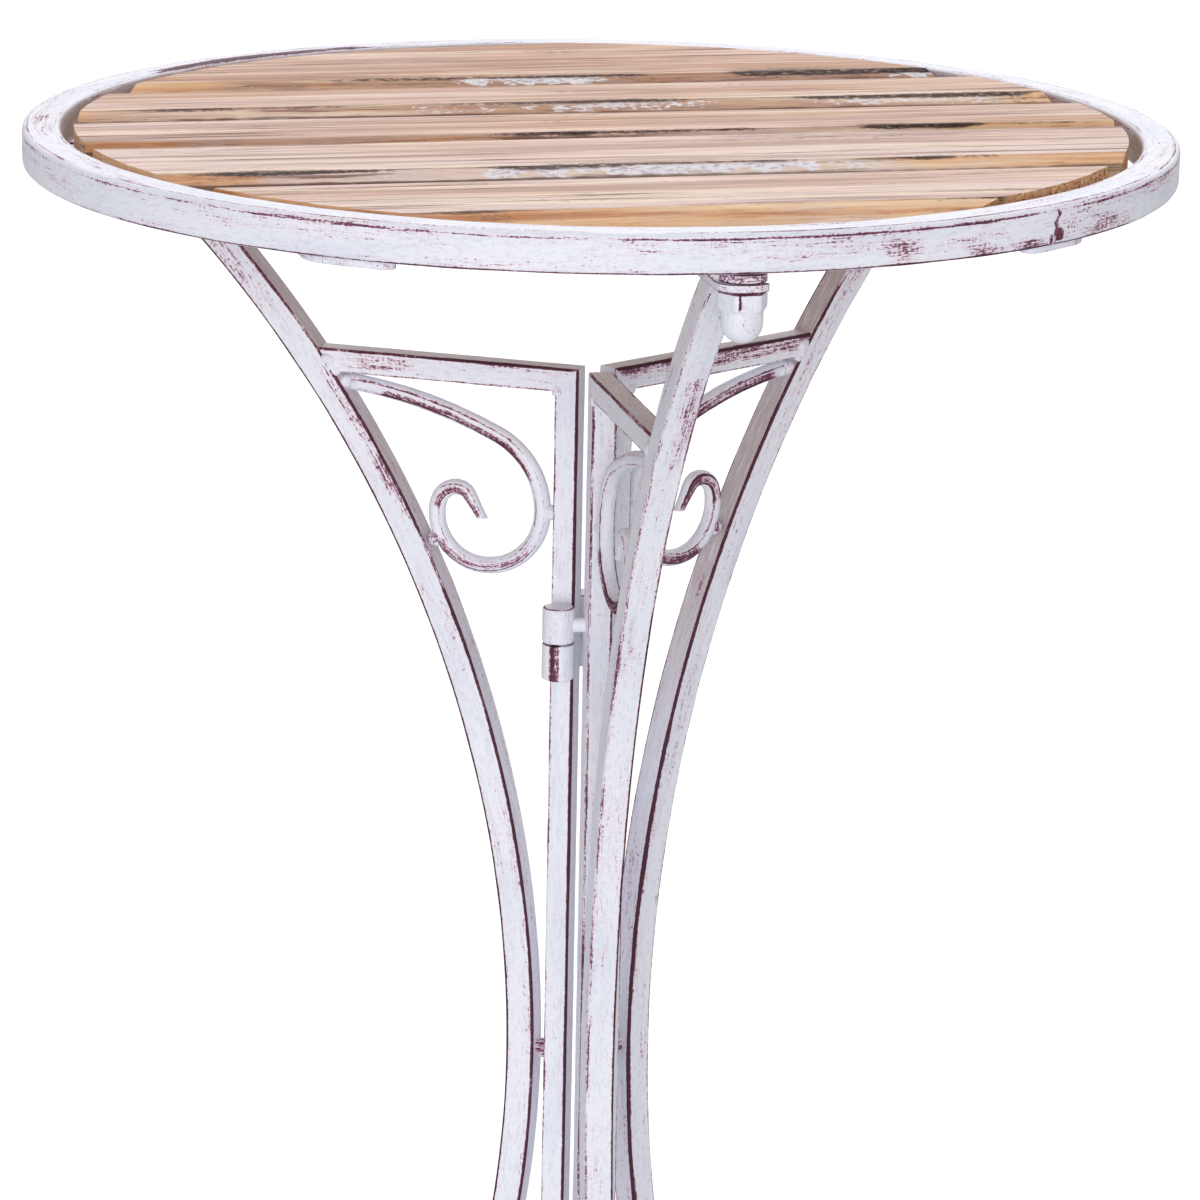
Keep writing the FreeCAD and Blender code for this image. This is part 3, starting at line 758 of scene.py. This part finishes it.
# Welds of a wing: sizes as shares of a bead's radius, and places from the joint that they close
weld_radius = 0.0019
post_tack_share = 1.8
post_tack_reach_shares = (-2.4, 1.8)
leg_tack_share = 1.6
leg_tack_wear = 0.6
leg_side_share = 1.2
leg_side_offset = 0.0024
leg_side_rise = 0.0012
leg_side_wear = 0.9
joint_share = 1.55
joint_inset = 0.0024
joint_drops = (0.0026, 0.0055, 0.0085, 0.0112)
joint_shifts = (0.0006, -0.0008, 0.0004, -0.0008)
corner_lump_share = 1.35
corner_lump_shift = 0.0012
corner_lump_inset = 0.0019
corner_lump_rise = 0.0004
scroll_end_lumps = ((0.0012, 0.0, 1.5), (0.0046, 0.0012, 1.2))
scroll_end_inset = 0.0016
plain_lump_wear = 0.2
waist_share = 1.25
waist_rise = 0.0014
waist_overlap = 0.0016
waist_wear = 0.9


def tack_places():
    """Where the scroll comes close to the post's side, and where it touches the leg."""
    path = scroll_path()
    at_post = min(path, key=lambda point: abs(point[2] - math.radians(270)))
    leg_heading = math.radians(360 + scroll_leg_tack_heading)
    at_leg = min(path, key=lambda point: abs(point[2] - leg_heading))
    way = Vector((math.sin(leg_heading), 0, -math.cos(leg_heading)))
    radius = scroll_bar / 2
    post_spot = Vector((at_post[0] - radius, 0, at_post[1]))
    leg_spot = Vector((at_leg[0], 0, at_leg[1])) + radius * way
    return post_spot, leg_spot


def side_tack_shells(side, leg_spot, seed):
    """Welds on one side of the wing: scroll to leg, rail to leg, rail to post, and the scroll's end."""
    rail_bottom = post_top - post_tube
    scroll_level = rail_bottom - scroll_bar / 2
    beside_leg = leg_spot + Vector((0, side * leg_side_offset, leg_side_rise))
    shells = [lump(beside_leg, weld_radius * leg_side_share, seed + 2 + side, leg_side_wear)]
    across = side * (leg_tube / 2 - joint_inset)
    path = []
    for drop, shift in zip(joint_drops, joint_shifts):
        height = post_top - drop
        path.append((leg_radius_at(height, leg_tube) + shift, across, height))
    shells.append(bead(path, weld_radius * joint_share, seed + 5 + side))
    inner_corner = (post_outer - corner_lump_shift, side * (post_tube / 2 - corner_lump_inset),
                    rail_bottom + corner_lump_rise)
    shells.append(lump(inner_corner, weld_radius * corner_lump_share, seed + 9 + side, plain_lump_wear))
    for k, (shift, drop, share) in enumerate(scroll_end_lumps):
        spot = (leg_radius_at(scroll_level, leg_tube) - shift, side * (scroll_bar / 2 - scroll_end_inset),
                scroll_level - drop)
        shells.append(lump(spot, weld_radius * share, seed + 15 + 3 * k + side, plain_lump_wear))
    return shells


def tack_shells(seed):
    """Welds of the upper half, where the scroll and the rail meet the post and the leg."""
    post_spot, leg_spot = tack_places()
    reach = Vector((scroll_post_gap, 0, 0))
    path = [post_spot + reach * share for share in post_tack_reach_shares]
    shells = [bead(path, weld_radius * post_tack_share, seed)]
    shells.append(lump(leg_spot, weld_radius * leg_tack_share, seed + 1, leg_tack_wear))
    for side in (-1, 1):
        shells += side_tack_shells(side, leg_spot, seed)
    return shells


def waist_shells(seed):
    """The two lumps that join the leg to the post where they come closest."""
    inner = leg_radius_at(waist_height, leg_tube)
    shells = []
    for side in (-1, 1):
        level = waist_height + side * waist_rise
        path = [(post_outer - waist_overlap, 0, level), (inner + waist_overlap, 0, level)]
        shells.append(bead(path, weld_radius * waist_share, seed + side, waist_wear))
    return shells


def build_wing(wing, seed, material):
    """All painted pieces of one wing."""
    upper = Matrix.Rotation(math.radians(wing_azimuths[wing]), 4, "Z")
    lower = upper @ Matrix.Translation((0, 0, 2 * waist_height)) @ Matrix.Scale(-1, 4, (0, 0, 1))

    def add(name, *shells):
        piece(wing + "_" + name, shells, wing_bodies[wing], material)

    swept = (("leg", partial(leg_shell, dust_and_shade_amount=leg_dust_and_shade[wing]), upper), ("post", post_shell, upper),
             ("upper_rail", rail_shell, upper), ("lower_rail", rail_shell, lower),
             ("upper_scroll", scroll_shell, upper), ("lower_scroll", scroll_shell, lower))
    for order, (name, shell_of, place) in enumerate(swept, start=1):
        node = wing + "_" + name
        listed = worn_stretches.get(node, worn_stretches.get(node.replace("lower", "upper"), ()))
        add(name, shell_of(seed + order, worn_all_round(listed)).moved(place))
    lumps = [shell.moved(upper) for shell in tack_shells(seed + 7)]
    lumps += [shell.moved(lower) for shell in tack_shells(seed + 12)]
    lumps += [shell.moved(upper) for shell in waist_shells(seed + 17)]
    add("weld_tacks", *lumps)
    add("lug", dressed(wing + "_lug", plate_rounding, upper @ Vector((1, 0, 0)), seed + 18, lug_wear))


# Hinges and fixings
knuckle_soft = 0.0009
knuckle_columns = 60
streak_azimuth = 243.0
streak_width = 26.0
barrel_streak = 1.5
socket_streak = 0.5
weld_offset = 0.0026
weld_trim = 0.001
arm_seat_depth = 0.0025
arm_flare = 0.0009
arm_waist_share = 0.55
arm_row_spacing = 0.0008
arm_columns = 20
nut_columns = 72
nut_flats = 0.016
nut_hexagon = 0.007
nut_chamfer = 0.0007
nut_bore = 0.005
nut_dome = 0.0075
nut_neck_step = 0.0003
nut_neck_fillet = 0.0001
nut_tip = 0.0004
nut_dash_azimuth = 250.0
nut_dash_wear = 1.7
nut_dash_fade = 0.002


def solid_boxes(node):
    """Lowest and highest corners of each separate solid of a node, from the lowest up."""
    bm = merged_mesh(node)
    left = set(bm.verts)
    boxes = []
    while left:
        stack = [left.pop()]
        group = []
        while stack:
            vert = stack.pop()
            group.append(vert.co.copy())
            for edge in vert.link_edges:
                other = edge.other_vert(vert)
                if other in left:
                    left.remove(other)
                    stack.append(other)
        boxes.append((Vector(map(min, zip(*group))), Vector(map(max, zip(*group)))))
    bm.free()
    return sorted(boxes, key=lambda corners: [round(value, 5) for value in corners[0].zyx])


def knuckle_shell(low, high, seed, streaked):
    """A turned knuckle with softened rims, and an upright worn streak on its outer side."""
    radius = (high.x - low.x) / 2
    soft = knuckle_soft
    bottom, top = low.z, high.z
    rim = [(radius * 0.5, 0.0), (radius - soft * 1.6, 0.0), (radius - soft, 0.0),
           (radius - soft * 0.3, soft * 0.3)]
    outline = [(reach, bottom + rise) for reach, rise in rim]
    outline += [(radius, bottom + soft + (top - bottom - 2 * soft) * k / 6) for k in range(7)]
    outline += [(reach, top - rise) for reach, rise in rim[::-1]]
    last = len(outline) - 1

    def streak(azimuth, height):
        away = degrees_apart(azimuth, streak_azimuth)
        return streaked * (1 - smooth(away, streak_width * 0.4, streak_width))

    worn_rows = (2, 3, last - 3, last - 2)
    return lathe(outline, (low + high) / 2, seed, knuckle_columns, worn_rows, streak, knuckle_rim_wear)


def hinge_weld_shells(node, seed):
    """Two upright beads beside each other at each knuckle's seat on the left post."""
    turn = Matrix.Rotation(math.radians(wing_azimuths["left"]), 3, "Z")
    shells = []
    for k, (low, high) in enumerate(solid_boxes(node)):
        middle = (low + high) / 2
        heights = (low.z + weld_trim, middle.z, high.z - weld_trim)
        for side in (-1, 1):
            shift = turn @ Vector((side * weld_offset, 0, 0))
            path = [Vector((middle.x, middle.y, z)) + shift for z in heights]
            shells.append(bead(path, weld_radius, seed + 3 * k + side))
    return shells


def arm_shell(start, seat, radius, seed):
    """A level rod that thickens into its welds at both ends."""
    length = (seat - start).length
    out = (seat - start).normalized()
    up = Vector((0, 0, 1))

    def line(along):
        return start + out * along, up, out.cross(up)

    def swell(along, place):
        return arm_flare * smooth(abs(along / length - arm_waist_share), 0.1, 0.4)

    return sweep(line, length, round_profile(radius, arm_columns), seed, arm_row_spacing, swell=swell)


def arm_shells(wing, seed):
    """The rods from the sockets to the swinging wing's post."""
    turn = Matrix.Rotation(math.radians(wing_azimuths[wing]), 3, "Z")
    seat = turn @ Vector((post_inner + arm_seat_depth, 0, 0))
    boxes = zip(solid_boxes(wing + "_hinge_arms"), solid_boxes(wing + "_hinge_sockets"))
    shells = []
    for k, ((low, high), (socket_low, socket_high)) in enumerate(boxes):
        level = (low.z + high.z) / 2
        axis = (socket_low + socket_high) / 2
        start = Vector((axis.x, axis.y, level))
        end = Vector((seat.x, seat.y, level))
        shells.append(arm_shell(start, end, (high.z - low.z) / 2, seed + k))
    return shells


def build_hinges(wing, seed, material):
    """Knuckles, welds and arms of one wing's two hinges."""
    stem = wing + "_hinge_"
    body = wing_bodies[wing]

    def add(part, shells, rider):
        piece(stem + part, shells, rider, material)

    for part, rider, streaked, first in (("barrels", "hub", barrel_streak, seed),
                                         ("sockets", body, socket_streak, seed + 3)):
        boxes = solid_boxes(stem + part)
        add(part, [knuckle_shell(*box, first + k, streaked) for k, box in enumerate(boxes)], rider)
    add("welds", hinge_weld_shells(stem + "welds", seed + 6), "hub")
    add("arms", arm_shells(wing, seed + 15), body)


def nut_shell(low, high, seed):
    """A domed cap nut: hexagon with chamfered ends, then a round dome."""
    axis = (low + high) / 2
    toward = math.atan2(axis.y, axis.x)
    top = high.z
    under = top - nut_hexagon

    def hex_reach(angle, inset, cap_share):
        away = (angle - toward + math.pi / 6) % (math.pi / 3) - math.pi / 6
        return min((nut_flats / 2 - inset) / math.cos(away), nut_flats / 2 * cap_share)

    def dash(azimuth, height):
        away = degrees_apart(azimuth, nut_dash_azimuth)
        return nut_dash_wear * (1 - smooth(away, 1, 5)) * smooth(height, under, under + nut_dash_fade)

    hexagon = [(0.0006, 1.03, top), (0.0001, 1.08, top - nut_chamfer)]
    hexagon += [(0.0, 1.13, top - nut_hexagon * share) for share in (0.25, 0.5, 0.75)]
    hexagon += [(0.0001, 1.08, under + nut_chamfer), (0.0005, 1.02, under)]
    rows = [(nut_bore, top)]
    rows += [(partial(hex_reach, inset=inset, cap_share=cap), height) for inset, cap, height in hexagon]
    rows.append((nut_dome + nut_neck_fillet, under - nut_neck_step))
    neck = under - 2 * nut_neck_step
    centre = low.z + nut_dome
    rows += [(nut_dome, neck - (neck - centre) * share) for share in (0.0, 0.5, 1.0)]
    for degrees in range(12, 90, 12):
        angle = math.radians(degrees)
        rows.append((nut_dome * math.cos(angle), centre - nut_dome * math.sin(angle)))
    rows.append((nut_tip, low.z))
    worn_rows = (len(rows) - 2, len(rows) - 3)
    return lathe(rows[::-1], axis, seed, nut_columns, worn_rows, dash)


def build_fixings(seed, material):
    """Spacers and cap nuts under the ring."""
    nuts = [nut_shell(*box, seed + k) for k, box in enumerate(solid_boxes("cap_nuts"))]
    piece("cap_nuts", nuts, "hub", material)
    spacers = dressed("top_spacers", plate_rounding / 2, (1, 0, 0), seed + 5, spacer_wear)
    piece("top_spacers", [spacers], "hub", material)


# Ring: its seam's bead as drops from the top and shifts to the side, and its blobs as shift, rise and radius
seam_azimuth = -56.0
seam_radius = 0.0013
seam_sink = 0.0007
seam_wear = 1.0
seam_drops = (0.0006, 0.0015, 0.0036, 0.0062, 0.0104)
seam_shifts = (-0.0036, -0.0004, 0.0014, -0.0012, 0.0008)
seam_blobs = ((0.0006, 0.0042, 0.0029), (-0.0024, 0.0026, 0.0022))
blob_sink_share = 0.6
blob_wear = 1.2


def ring_shell(seed):
    """The rim: square tube bent round."""
    half = ring_tube / 2
    middle = ring_outer - half
    level = ring_bottom + half

    def line(along):
        angle = along / middle
        out = Vector((math.cos(angle), math.sin(angle), 0))
        return Vector((0, 0, level)) + middle * out, Vector((0, 0, 1)), out

    # Painted shade on the ring's inner wall
    def dust(along, way):
        return ring_inner_shade * smooth(-way.y, 0.5, 1.0)

    profile = square_profile(half, ring_corner, ring_worn_angles)
    return sweep(line, 2 * math.pi * middle, profile, seed, ring_row_spacing, closed=True,
                 stretches=worn_stretches["top_ring"], dust=dust)


def ring_seam_shells(seed):
    """The weld across the rim: a wandering bead down its outer side, ending in blobs."""
    turn = Matrix.Rotation(math.radians(seam_azimuth), 3, "Z")
    face = ring_outer - seam_sink
    path = []
    for drop, shift in zip(seam_drops, seam_shifts):
        inset = ring_corner * (1 - smooth(drop, 0.0, ring_corner))
        path.append(turn @ Vector((face - inset, shift, table_height - drop)))
    shells = [bead(path, seam_radius, seed, seam_wear)]
    for k, (shift, rise, radius) in enumerate(seam_blobs):
        blob = turn @ Vector((ring_outer - blob_sink_share * radius, shift, ring_bottom + rise))
        shells.append(lump(blob, radius, seed + 1 + k, blob_wear))
    return shells


# Boards, from the rear one to the front one. Each look lists where the natural front edge shows fresh wood,
# bark and white flakes: low and high share of the half length, and strength
board_looks = (
    {"fresh": [(-1.0, -0.76, 0.8), (-0.6, -0.52, 0.6), (0.26, 0.5, 0.3)],
     "bark": [(-0.52, 0.27, 0.6), (0.48, 1.0, 1.0)],
     "flake": [(-0.78, -0.5, 0.2), (-0.2, 0.16, 0.75), (0.86, 1.0, 0.6)]},
    {"fresh": [(-1.0, -0.93, 0.7), (-0.5, -0.26, 0.4), (0.22, 0.5, 0.3), (0.93, 1.0, 0.7)],
     "bark": [(-0.86, -0.46, 0.55), (-0.3, 0.26, 0.6), (0.46, 0.96, 0.8)],
     "flake": [(-0.36, 0.3, 0.45), (0.5, 0.9, 0.4)]},
    {"fresh": [(-1.0, -0.8, 0.9), (-0.82, -0.2, 0.45), (0.68, 1.0, 0.8)],
     "bark": [(-0.24, 0.31, 0.6), (0.48, 0.74, 0.85), (0.72, 0.96, 0.4)],
     "flake": [(0.3, 0.5, 0.2)]},
    {"fresh": [(-1.0, -0.83, 0.9), (-0.5, -0.3, 0.35), (0.5, 1.0, 0.75)],
     "bark": [(-0.9, -0.52, 0.6), (-0.34, -0.02, 0.75), (-0.06, 0.32, 0.5), (0.5, 0.75, 0.45)],
     "flake": [(-0.85, -0.5, 0.28), (-0.36, 0.34, 1.0), (0.34, 0.52, 0.4)]},
    {"fresh": [(-1.0, 1.0, 0.7)],
     "bark": [(-1.0, -0.72, 0.35), (0.78, 1.0, 0.4)],
     "flake": [(-0.2, 0.2, 0.1)]},
)
fade_shares = {"fresh": 0.11, "bark": 0.07, "flake": 0.05}
front_edge_shares = (0.576, 0.258, -0.091, -0.433, -0.849)
board_tones = (-0.75, -0.25, 0.5, 1.4, 0.8)
left_end_shades = (0.6, 0.6, 0.6, 0.1, 0.1)
left_end_freshness = (0.3, 0.3, 0.3, 0.8, 0.8)
right_end_freshness = 0.3
# Painted shade on each board's lower natural edge, where it dips into the gap before the next board
slope_gap_shade = (0.9, 0.9, 0.9, 0.8, 0.0)
left_end_grain_share = 0.15
rear_gap = 0.0008
board_tilt = 0.0013
board_stations = 181
board_soft = 0.0009
top_spacing = 0.0016
board_brow = 0.0006
slope_crown = 0.0012
slope_foot_rise = 0.0015
slope_shares = (0.0, 0.025, 0.05, 0.08, 0.11, 0.15, 0.2, 0.26, 0.34, 0.44, 0.56, 0.7, 0.85, 1.0)
off_slope = -1.0
bark_top_reach = 0.002
bark_top_growth = 0.006
# Painted shade along the rear top edge, and on the underside near it, at the gap behind each board
rear_gap_shade_near = 0.0004
rear_gap_shade_far = 0.0026
relief_depth = 0.00035
relief_sink = 0.0001
relief_margin = 0.002
slope_wave = 0.0016
slope_roughness = 0.0008


def stretch_amount(stretches, share, fade):
    """How strongly any of the listed stretches holds at a share of the board's half length."""
    amount = 0.0
    for low, high, strength in stretches:
        rise = 1.0 if low <= -1 else smooth(share, low - fade, low + fade)
        fall = 1.0 if high >= 1 else 1 - smooth(share, high - fade, high + fade)
        amount = max(amount, strength * rise * fall)
    return amount


class Board:
    """A rough board with brushed grain, a natural front edge and round-cut ends."""

    def __init__(self, number, rear, front, foot, low, high, radius):
        self.number = number
        self.rear, self.front, self.foot = rear, front, foot
        self.low, self.high = low, high
        self.radius = radius
        self.points, self.grain = [], []
        self.amounts = {"fresh": [], "bark": [], "flake": [], "crease": [], "end": [], "tone": []}

    def section(self):
        """Upper points (y, z, slope share) from the rear edge to the front edge's foot."""
        rear, front, high, soft = self.rear, self.front, self.high, board_soft
        points = [(rear, high - 2.2 * soft, off_slope), (rear - 0.2 * soft, high - soft, off_slope),
                  (rear - soft, high - 0.15 * soft, off_slope)]
        count = max(12, round((rear - front) / top_spacing))
        for k in range(1, count):
            points.append((rear - soft + (front - rear + soft) * k / count, high, off_slope))
        points.append((front + board_brow, high, off_slope))
        for share in slope_shares:
            crown = slope_crown * math.sin(math.pi * share)
            y = front + (self.foot - front) * share
            points.append((y, high + (self.low + slope_foot_rise - high) * share + crown, share))
        return points

    def listed(self, kind, share):
        """How strongly the board's look lists a kind of surface at a share of the half length."""
        return stretch_amount(board_looks[self.number - 1][kind], share, fade_shares[kind])

    def slope_amounts(self, x, share, slope):
        """Fresh wood, bark, flakes, a dark line at the edge's top, and painted shade where the edge dips into
        the gap.
        """
        bark = self.listed("bark", share)
        upper = 1 - smooth(slope, 0.01 + 0.06 * bark, 0.06 + 0.14 * bark)
        bite = 0.26 * max(0.0, noise.noise(Vector((x * 160, self.number * 2.3, 0.5))))
        lower = smooth(slope, 0.02, 0.08) * (1 - smooth(slope, 0.26 - bite, 0.3 - bite))
        margin = 0.7 * (1 - smooth(abs(slope - 0.01), 0.0, 0.03))
        # Painted shade low on the slope, in the gap
        gap_shade = slope_gap_shade[self.number - 1] * smooth(slope, 0.24, 0.34)
        gap_shade *= 1 - 0.6 * smooth(slope, 0.4, 0.7)
        return {"fresh": self.listed("fresh", share), "bark": bark * upper,
                "flake": lower * self.listed("flake", share), "crease": max(margin, gap_shade)}

    def flat_amounts(self, y, z, share):
        """Bark beside the natural edge, and painted shade along the rear edge at the gap."""
        bark = self.listed("bark", share)
        beside = 0.75 * (1 - smooth(y - self.front, 0.0, bark_top_reach + bark_top_growth * bark))
        # Painted shade along the rear edge, at the gap
        gap_shade = (0.7 if z > self.low else 0.25) * (1 - smooth(self.rear - y, rear_gap_shade_near, rear_gap_shade_far))
        return {"fresh": 0.0, "bark": bark * beside, "flake": 0.0, "crease": gap_shade}

    def add_point(self, y, z, share, slope, level, end=False):
        """One point, with its place in the grain and its amounts."""
        x = share * math.sqrt(max(1e-8, self.radius ** 2 - y ** 2))
        amounts = self.flat_amounts(y, z, share) if slope < 0 else self.slope_amounts(x, share, slope)
        amounts["end"] = 0.0
        amounts["tone"] = board_tones[self.number - 1]
        across = y
        if end:
            right = share > 0
            amounts["crease"] = 0.0
            amounts["end"] = 1.0 if right else left_end_shades[self.number - 1]
            amounts["fresh"] = right_end_freshness if right else left_end_freshness[self.number - 1]
            across = y if right else y * left_end_grain_share
        self.points.append((x, y, z))
        self.grain.append((x, across, level))
        for key, amount in amounts.items():
            self.amounts[key].append(amount)

    def shaped(self, y, z, share, slope):
        """The place after the board's tilt, the grain's relief and the edge's waves."""
        x = share * self.radius
        number = self.number
        z -= board_tilt * (1 - share) / 2 * (z - self.low) / (self.high - self.low)
        if slope < 0:
            spot = Vector((x * 9 + number * 5.1, y * 330, number * 3.7))
            inside = smooth(self.rear - y, 0.0, relief_margin)
            return y, z - relief_depth * inside * max(0.0, noise.noise(spot)) - relief_sink * inside
        wave = slope_wave * noise.noise(Vector((x * 28, number * 9.1, slope * 0.8)))
        rough = slope_roughness * noise.noise(Vector((x * 130, number * 4.3, slope * 5)))
        ease = math.sin(math.pi * min(1.0, slope + 0.18))
        return y + (wave + rough) * ease, z + rough * 0.6 * math.sin(math.pi * slope)

    def shell(self):
        """The whole surface: stations from left to right, then both end faces."""
        section = self.section()
        half = len(section)
        whole = 2 * half
        for station in range(board_stations):
            share = 2 * station / (board_stations - 1) - 1
            upper = [(*self.shaped(y, z, share, slope), slope, z) for y, z, slope in section]
            for y, z, slope, level in upper:
                self.add_point(y, z, share, slope, level)
            for y, z, slope, level in upper[::-1]:
                self.add_point(y, self.low, share, off_slope, self.low)
        faces = grid_faces(board_stations, whole, False)[:-2]
        for share, first, order in ((-1.0, 0, 1), (1.0, (board_stations - 1) * whole, -1)):
            base = len(self.points)
            for x, y, z in self.points[first:first + whole]:
                self.add_point(y, z, share, off_slope, z, end=True)
            for k in range(half - 1):
                face = (base + k, base + k + 1, base + whole - 2 - k, base + whole - 1 - k)
                faces.append(face[::order])
        grain = np.array(self.grain) + board_grain_shift * self.number
        return Shell(self.points, faces, grain, self.amounts)


def build_boards(material):
    """The five boards, in the places of their solids."""
    board_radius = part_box("board_3")[1].x
    for number, front_share in enumerate(front_edge_shares, start=1):
        node = "board_" + str(number)
        low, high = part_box(node)
        rear = high.y - (rear_gap if number == 1 else 0.0)
        board = Board(number, rear, front_share * board_radius, low.y, low.z, high.z, board_radius)
        piece(node, [board.shell()], "hub", material)


def build_top(seed, paint, wood):
    """Ring, crossbars and boards."""
    ring = [ring_shell(seed)] + ring_seam_shells(seed + 6)
    piece("top_ring", ring, "hub", paint)
    for k, node in enumerate(("left_crossbar", "right_crossbar")):
        bar = dressed(node, plate_rounding, (0, 1, 0), seed + 2 + k, crossbar_wear, crossbar_end_rounding)
        piece(node, [bar], "hub", paint)
    build_boards(wood)


# Stage: floor, light and camera; each light has a name, azimuth, elevation, strength and width
floor_half = 40.0
floor_glow = 0.2
world_strength = 0.5
pure_white = (1.0, 1.0, 1.0, 1.0)
lights = (("key", -107.0, 1.0, 1.66, 54.0), ("back", 70.0, 42.0, 1.95, 60.0))


def build_floor():
    """A pale floor that adds no light and no shadow to the table."""
    mesh = bpy.data.meshes.new("floor")
    corners = [(x * floor_half, y * floor_half, 0) for x, y in ((-1, -1), (1, -1), (1, 1), (-1, 1))]
    mesh.from_pydata(corners, [], [(0, 1, 2, 3)])
    p = Painter("floor", 0.9)
    place = p.place()
    tones = [(0.3, 250, 250, 251), (0.7, 253, 253, 254)]
    p.shader.inputs["Emission Color"].default_value = pure_white
    p.shader.inputs["Emission Strength"].default_value = floor_glow
    mesh.materials.append(p.finish(p.ramp(p.noise(place, (3, 3, 3)), tones)))
    floor = new_object("floor", mesh)
    floor.visible_diffuse = False
    floor.visible_glossy = False
    floor.visible_shadow = False


def build_light():
    """Soft white light all round, with a wide sun from the front and one from behind."""
    world = bpy.data.worlds.new("studio")
    world.use_nodes = True
    background = world.node_tree.nodes["Background"]
    background.inputs["Color"].default_value = pure_white
    background.inputs["Strength"].default_value = world_strength
    bpy.context.scene.world = world
    for name, azimuth, elevation, strength, width in lights:
        lamp = bpy.data.lights.new(name, "SUN")
        lamp.energy = strength
        lamp.angle = math.radians(width)
        level = math.cos(math.radians(elevation))
        toward = Vector((level * math.cos(math.radians(azimuth)), level * math.sin(math.radians(azimuth)),
                         math.sin(math.radians(elevation))))
        new_object(name, lamp).rotation_euler = (-toward).to_track_quat("-Z", "Y").to_euler()


def build_camera():
    """The photograph's view: a long lens, a little above the top, with the table turned towards it."""
    table_turn = math.radians(13.0)
    sideways = 0.00315
    distance = 1.76925
    elevation = math.radians(9.55)
    pitch = math.radians(15.59)
    roll = math.radians(1.16)
    place = Vector((sideways, -distance * math.cos(elevation), distance * math.sin(elevation)))
    right = Vector((1, 0, 0))
    forward = Vector((0, math.cos(pitch), -math.sin(pitch)))
    down = forward.cross(right)
    across = math.cos(roll) * right - math.sin(roll) * down
    below = math.sin(roll) * right + math.cos(roll) * down
    axes = Matrix((across, -below, -forward)).transposed().to_4x4()
    to_table = Matrix.Translation((0, 0, table_height)) @ Matrix.Rotation(-table_turn, 4, "Z")
    data = bpy.data.cameras.new("camera")
    data.sensor_width = 36.0
    data.lens = 135.0
    camera = new_object("camera", data)
    camera.matrix_world = to_table @ Matrix.Translation(place) @ axes
    bpy.context.scene.camera = camera


def dress_kept_nodes():
    """Better finishes for the small pieces that keep their solids."""
    plastic = speckled("foot_plastic", (22, 22, 23), (40, 40, 42), 0.6, 0.0, 900)
    zinc = speckled("screw_steel", (120, 118, 114), (168, 166, 160), 0.42, 0.9, 700)
    steel = speckled("pin_steel", (110, 110, 112), (160, 160, 162), 0.35, 0.95, 700)
    stud = speckled("stud_paint", (96, 50, 70), (200, 190, 204), 0.55, 0.0, 500)
    finishes = {"board_screws": zinc, "front_hinge_pins": steel, "rear_hinge_pins": steel, "top_studs": stud}
    finishes.update({wing + "_foot_cap": plastic for wing in wing_azimuths})
    for node, material in finishes.items():
        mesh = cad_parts[node].data
        mesh.materials.clear()
        mesh.materials.append(material)


# Seeds that shift the patterns of the pieces
wing_seeds = {"left": 20, "front": 50, "rear": 80}
hinge_seeds = {"front": 120, "rear": 150}
fixing_seed = 200
top_seed = 3

paint = painted_steel()
wood = weathered_wood()
for wing, seed in wing_seeds.items():
    build_wing(wing, seed, paint)
for wing, seed in hinge_seeds.items():
    build_hinges(wing, seed, paint)
build_fixings(fixing_seed, paint)
build_top(top_seed, paint, wood)
dress_kept_nodes()
build_floor()
build_light()
build_camera()
bpy.context.scene.view_settings.view_transform = "Standard"
